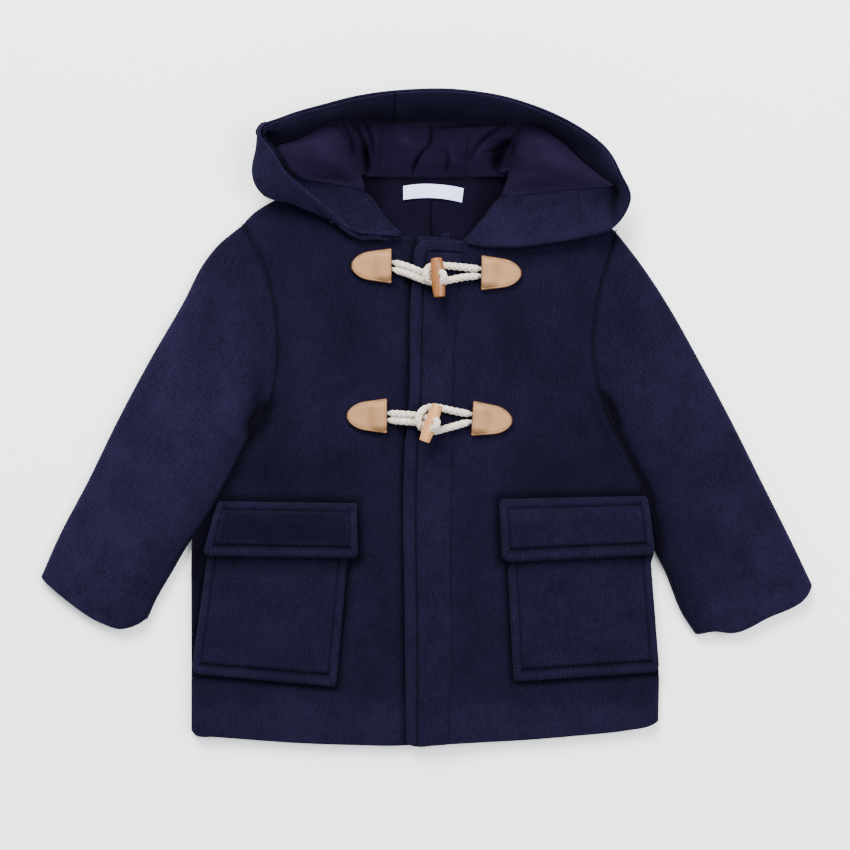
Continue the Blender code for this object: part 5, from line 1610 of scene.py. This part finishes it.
def smooth_route(points):
    """Evenly spaced points on the smooth curve through a route."""
    points = np.array(points, dtype=float)
    run = np.concatenate([[0.0], np.cumsum(np.linalg.norm(np.diff(points, axis=0), axis=1))])
    at = np.linspace(0, run[-1], max(3, int(round(run[-1] / ROUTE_STEP)) + 1))
    return np.stack([smooth(run, points[:, k], at) for k in range(3)], axis=-1)


def cord_points(columns, dy=0.0):
    """Points of a route, whose sewn ends lie on the body under their patch."""
    height = np.maximum(STRAND + columns["rise"], SEWN)
    return list(zip(columns["x"], columns["y"] + dy, height))


def toggle_cord_route(fastening):
    """Out from under the patch, up through one hole, along the toggle and back through the other."""
    lean, (cx, cy) = math.radians(fastening["lean"]), fastening["centre"]
    up = [(-3.6, HOLE_HALF, -3.6), (0.0, HOLE_HALF, 0.2), (3.2, HOLE_HALF, 3.9), (4.3, 1.2, 5.2)]
    through = up + [(x, -y, z) for x, y, z in reversed(up)]
    middle = [(cx + x * math.cos(lean) - y * math.sin(lean), cy + x * math.sin(lean) + y * math.cos(lean),
               TOGGLE_AXIS + z) for x, y, z in through]
    there, back = (cord_points(fastening["pair"], side) for side in (PAIR_HALF, -PAIR_HALF))
    return smooth_route(there + middle + back[::-1])


BRAID_PITCH = 17.0  # a strand's full turn round the cord
BRAID_WAYS = 4  # strands each way round
BRAID_RISE = 0.34  # of a strand's middle where it crosses over another
STRAND_RADIUS = 0.98
STRAND_WIDE, STRAND_THICK = 1.28, 0.86  # a strand's half width and half thickness, in radii
STRAND_SIDES = 10


def frames_along(route):
    """Unit directions along a route and two across it that turn as little as they can."""
    along = unit(np.gradient(route, axis=0))
    side = np.zeros_like(along)
    side[0] = unit(np.cross(along[0], [0.0, 0.0, 1.0]))
    for k in range(1, len(route)):
        kept = side[k - 1] - along[k] * (side[k - 1] @ along[k])
        side[k] = kept / np.linalg.norm(kept)
    return along, side, np.cross(along, side)


def tube_quads(index):
    """Faces between the rings of a tube, from the indices of its points."""
    ahead = np.roll(index, -1, axis=1)
    return np.stack([index[:-1], ahead[:-1], ahead[1:], index[1:]], axis=-1).reshape(-1, 4)


def swept(route, radius, around):
    """Points and faces of a tube along a route."""
    _, side, up = frames_along(route)
    angle = np.linspace(0, 2 * math.pi, around, endpoint=False)
    ring = side[:, None] * np.cos(angle)[None, :, None] + up[:, None] * np.sin(angle)[None, :, None]
    points = (route[:, None] + radius[:, None, None] * ring).reshape(-1, 3)
    return points, tube_quads(np.arange(len(points)).reshape(len(route), around))


def make_cord(name, route):
    """A braided cord: strands both ways round, each over one and under the next."""
    run = arcs(route[None], 1)[0]
    from_end = np.minimum(run, run[-1] - run)
    share = 0.55 + 0.45 * ease((from_end - SEWN_LENGTH) / SEWN_LENGTH)
    _, side, up = frames_along(route)
    middle = CORD_RADIUS - STRAND_RADIUS * STRAND_THICK
    turns = 2 * math.pi * run / BRAID_PITCH
    round_strand = np.linspace(0, 2 * math.pi, STRAND_SIDES, endpoint=False)[None, :, None]
    points, quads, start = [], [], 0
    for way in (1, -1):
        reach = (middle + way * np.cos(BRAID_WAYS * turns) * BRAID_RISE) * share
        for k in range(BRAID_WAYS):
            angle = 2 * math.pi * k / BRAID_WAYS + way * turns
            centre = route + side * (reach * np.cos(angle))[:, None] + up * (reach * np.sin(angle))[:, None]
            outward = side * np.cos(angle)[:, None] + up * np.sin(angle)[:, None]
            direction = unit(np.gradient(centre, axis=0))
            across = unit(np.cross(direction, outward))
            outward = np.cross(across, direction)
            ring = across[:, None] * np.cos(round_strand) * STRAND_WIDE
            ring = ring + outward[:, None] * np.sin(round_strand) * STRAND_THICK
            points.append((centre[:, None] + STRAND_RADIUS * share[:, None, None] * ring).reshape(-1, 3))
            quads.append(tube_quads(start + np.arange(len(points[-1])).reshape(len(route), STRAND_SIDES)))
            start += len(points[-1])
    core, core_quads = swept(route, middle * share, 8)
    points, quads = np.concatenate([*points, core]), np.concatenate([*quads, core_quads + start])
    obj = mesh_object(f"{name}_braid", points, quads, CORD)
    close_ends(obj)
    finish_piece(obj, [name])


def close_ends(obj):
    """Closes the open ends of tubes and turns all faces outwards."""
    cage = bmesh.new()
    cage.from_mesh(obj.data)
    bmesh.ops.holes_fill(cage, edges=[edge for edge in cage.edges if edge.is_boundary], sides=0)
    bmesh.ops.recalc_face_normals(cage, faces=cage.faces)
    cage.to_mesh(obj.data)
    cage.free()
    obj.data.shade_smooth()


def patch_half(s):
    """Half of a patch's width along its length."""
    tip = np.clip((s - 0.55) / 0.45, 0.0, 1.0)
    return PATCH_WIDTH / 2 * (1 - 0.32 * s) * np.sqrt(np.clip(1 - tip**2.2, 0, 1))


def make_patch(name, edge, angle):
    """A leather shield over the cord ends: straight edge with small round corners, round tip."""
    cosine, sine = math.cos(math.radians(angle)), math.sin(math.radians(angle))

    def place(s, w, lift=0.0):
        """Points at a share s of its length and w of its half width, with that half width."""
        corner = np.clip(1 - s * PATCH_LENGTH / 1.6, 0, 1)
        half = np.maximum(patch_half(s), 0.05) - 1.1 * (1 - np.sqrt(1 - corner**2))
        along, off = s * PATCH_LENGTH, w * half
        x, y = edge[0] + along * cosine - off * sine, edge[1] + along * sine + off * cosine
        arch = (1 - ease((along - SEWN_LENGTH - 1) / 9.0)) * (1 - ease((np.abs(off) - 6.5) / 5.0))
        return np.stack([x, y, lay(x, y) + GAP + PATCH_WALL + PATCH_ARCH * arch + lift], -1), half

    near = np.array([0, 0.002, 0.01, 0.024, 0.045, 0.075])
    s_stops = np.concatenate([near, np.linspace(0.1, 0.9, 34), 1 - 0.1 * np.linspace(1, 0, 16)[1:] ** 2])
    w_near = np.array([0, 0.004, 0.02, 0.05, 0.1])
    w_stops = np.concatenate([-1 + w_near, np.linspace(-0.86, 0.86, 33), 1 - w_near[::-1]])
    s, w = np.meshgrid(s_stops, w_stops, indexing="ij")
    _, half = place(s, w)
    from_edge = np.minimum(s * PATCH_LENGTH, half * (1 - np.abs(w)))
    from_edge = np.minimum(from_edge, np.where(s > 0.5, (1 - s) * PATCH_LENGTH * 1.6, 99))
    from_edge = np.minimum(from_edge, 6.0)
    lift = 0.55 * (1 - np.exp(-from_edge / 1.6)) + groove(from_edge - PATCH_STITCH, 0.22, 0.45)
    points, _ = place(s, w, lift)
    obj = cloth(f"{name}_leather", points, PATCH_WALL, LEATHER, nodes=[name],
                declare=False)
    # The leather's coordinates: along the patch, across it, and in from its edge
    spots = np.array([v.co[:] for v in obj.data.vertices]) / MM
    dx, dy = spots[:, 0] - edge[0], spots[:, 1] - edge[1]
    run, sideways = dx * cosine + dy * sine, -dx * sine + dy * cosine
    inside = patch_half(np.clip(run / PATCH_LENGTH, 0, 1)) - np.abs(sideways)
    from_edge = np.minimum(np.minimum(run, inside), (PATCH_LENGTH - run) * 1.3)
    local = np.stack([run, sideways, from_edge], -1).astype(np.float32)
    obj.data.attributes["grain"].data.foreach_set("vector", local.ravel())
    s_line = np.linspace(PATCH_STITCH / PATCH_LENGTH, 1, 160)
    half_line = patch_half(s_line)
    w_line = np.clip(1 - PATCH_STITCH / np.maximum(half_line, 0.3), 0, 1)
    before_tip = (half_line > PATCH_STITCH * 1.05) & (s_line < 0.955)
    first, second = (place(s_line, sign * w_line, STITCH_LIFT)[0][before_tip] for sign in (-1, 1))
    straight, _ = place(np.full(40, PATCH_STITCH / PATCH_LENGTH), np.linspace(-0.88, 0.88, 40), STITCH_LIFT)
    border = np.concatenate([first, second[::-1]])
    return [(line, np.zeros_like(line) + [0, 0, 1.0]) for line in (border, straight)]


def make_toggle(fastening, route):
    """A wooden barrel along its own axis, with holes for its cord."""
    number, sides, edge = (fastening[key] for key in ("number", "sides", "edge"))
    faceted, half = sides < 12, TOGGLE_LENGTH / 2
    at = np.linspace(-half + edge, half - edge, 40)
    radius = TOGGLE_RADIUS - (TOGGLE_RADIUS - TOGGLE_END_RADIUS) * np.abs(at / half) ** 1.9
    bevel = np.linspace(0, math.pi / 2, 7)[1:]
    top = [(radius[-1] - edge * (1 - math.cos(b)), half - edge + edge * math.sin(b)) for b in bevel]
    profile = [(r, -z) for r, z in reversed(top)] + list(zip(radius, at)) + top
    angle = np.linspace(0, 2 * math.pi, sides, endpoint=False) + (math.pi / 8 if faceted else 0)
    points = [(r * math.cos(a), z, r * math.sin(a)) for r, z in profile for a in angle]
    index = np.arange(len(points)).reshape(len(profile), sides)
    obj = mesh_object(f"toggle_{number}_wood", points, tube_quads(index), WOOD[number])
    close_ends(obj)
    obj.rotation_euler = (0.0, 0.0, math.radians(fastening["lean"]))
    obj.location = (fastening["centre"][0] * MM, fastening["centre"][1] * MM, TOGGLE_AXIS * MM)
    if faceted:
        chamfer = obj.modifiers.new("worn_edges", "BEVEL")
        chamfer.width, chamfer.segments, chamfer.limit_method = 0.35 * MM, 3, "ANGLE"
        chamfer.angle_limit = math.radians(25)
    cutter = mesh_object("cutter", *swept(route, np.full(len(route), CORD_RADIUS + HOLE_ROOM), 24), WOOD[number])
    close_ends(cutter)
    cut = obj.modifiers.new("holes", "BOOLEAN")
    cut.operation, cut.object = "DIFFERENCE", cutter
    bpy.context.view_layer.update()
    made = bpy.data.meshes.new_from_object(obj.evaluated_get(bpy.context.evaluated_depsgraph_get()))
    obj.modifiers.clear()
    obj.data = made
    bpy.data.objects.remove(cutter, do_unlink=True)
    spots = np.zeros(len(made.vertices) * 3, dtype=np.float32)
    made.vertices.foreach_get("co", spots)
    grain = spots.reshape(-1, 3) / MM * np.float32([1.4, 1.0, 1.4])
    made.attributes.new("grain", "FLOAT_VECTOR", "POINT").data.foreach_set("vector", grain.ravel())
    made.shade_smooth()
    made.set_sharp_from_angle(angle=math.radians(28))
    made.transform(obj.matrix_basis)
    obj.rotation_euler = (0, 0, 0)
    finish_piece(obj, [f"toggle_{number}"])


def make_fastening(fastening):
    """The two patches with their stitches, the two cords, and the toggle on one of them."""
    number, lines = fastening["number"], []
    for side, edge, angle in fastening["patches"]:
        lines += make_patch(f"patch_{number}_{side}", edge, angle)
    stitches(f"patch_{number}_stitches", lines, TAN_THREAD, pitch=2.3, length=1.5)
    route = toggle_cord_route(fastening)
    make_cord(f"toggle_cord_{number}", route)
    make_cord(f"loop_cord_{number}", smooth_route(cord_points(fastening["loop"])))
    make_toggle(fastening, route)


# ---------------------------------------------------------------- surroundings

FLOOR_SIZE = 12.0  # metres
FLOOR_DROP = 0.0004


def make_floor():
    """The pale table that the coat lies on, just below its lowest point."""
    shader = Shader("pale_table")
    shader.finish((0.93, 0.93, 0.925, 1.0), 0.85, None, Specular_IOR_Level=0.1)
    bpy.ops.mesh.primitive_plane_add(size=FLOOR_SIZE, location=(0, 0, -FLOOR_DROP))
    floor = bpy.context.object
    floor.name = "pale_floor"
    floor.data.materials.append(shader.material)


def softbox(name, place, size, watts, colour):
    """A square light at a place in metres that faces the coat."""
    data = bpy.data.lights.new(name, "AREA")
    data.shape, data.size, data.energy, data.color = "SQUARE", size, watts, colour
    lamp = link(bpy.data.objects.new(name, data))
    lamp.location = place
    lamp.rotation_euler = (-Vector(place)).to_track_quat("-Z", "Y").to_euler()


def make_lights():
    """An even surrounding, a key light from the hood's side and a fill from the wearer's left."""
    world = bpy.data.worlds.new("studio")
    bpy.context.scene.world = world
    world.use_nodes = True
    background = world.node_tree.nodes["Background"]
    background.inputs["Color"].default_value = (0.93, 0.96, 1.0, 1.0)
    background.inputs["Strength"].default_value = 1.15
    softbox("key", (-0.7, 2.2, 1.9), 1.5, 265.0, (1.0, 0.99, 0.97))
    softbox("fill", (1.7, 0.3, 2.3), 1.8, 120.0, (0.96, 0.98, 1.0))


CAMERA_HEIGHT = 1.55  # metres above the plane whose width fills the picture
FRAME_WIDTH = 0.6375  # metres
AIM = (-1.5, -6.4)  # plan point at the middle of the picture
FRAME_LEVEL = 6.0  # height of that plane


def make_camera():
    """The photo's camera, straight above, whose picture is FRAME_WIDTH across."""
    data = bpy.data.cameras.new("camera")
    data.sensor_width = 36.0
    data.lens = data.sensor_width * CAMERA_HEIGHT / FRAME_WIDTH
    data.clip_start, data.clip_end = 0.05, 20.0
    camera = link(bpy.data.objects.new("camera", data))
    camera.location = ((AIM[0] + SHIFT_X) * MM, (AIM[1] + SHIFT_Y) * MM, CAMERA_HEIGHT + FRAME_LEVEL * MM)
    bpy.context.scene.camera = camera


make_camera()
make_lights()
make_floor()
make_fronts()
make_back()
make_placket()
for side, edges in SLEEVES.items():
    make_sleeve(side, *edges)
for side in ("right", "left"):
    make_welted("pocket", side)
    make_welted("flap", side)
make_hood()
make_neck_lining()
make_label()
make_tab()
for fastening in FASTENINGS:
    make_fastening(fastening)
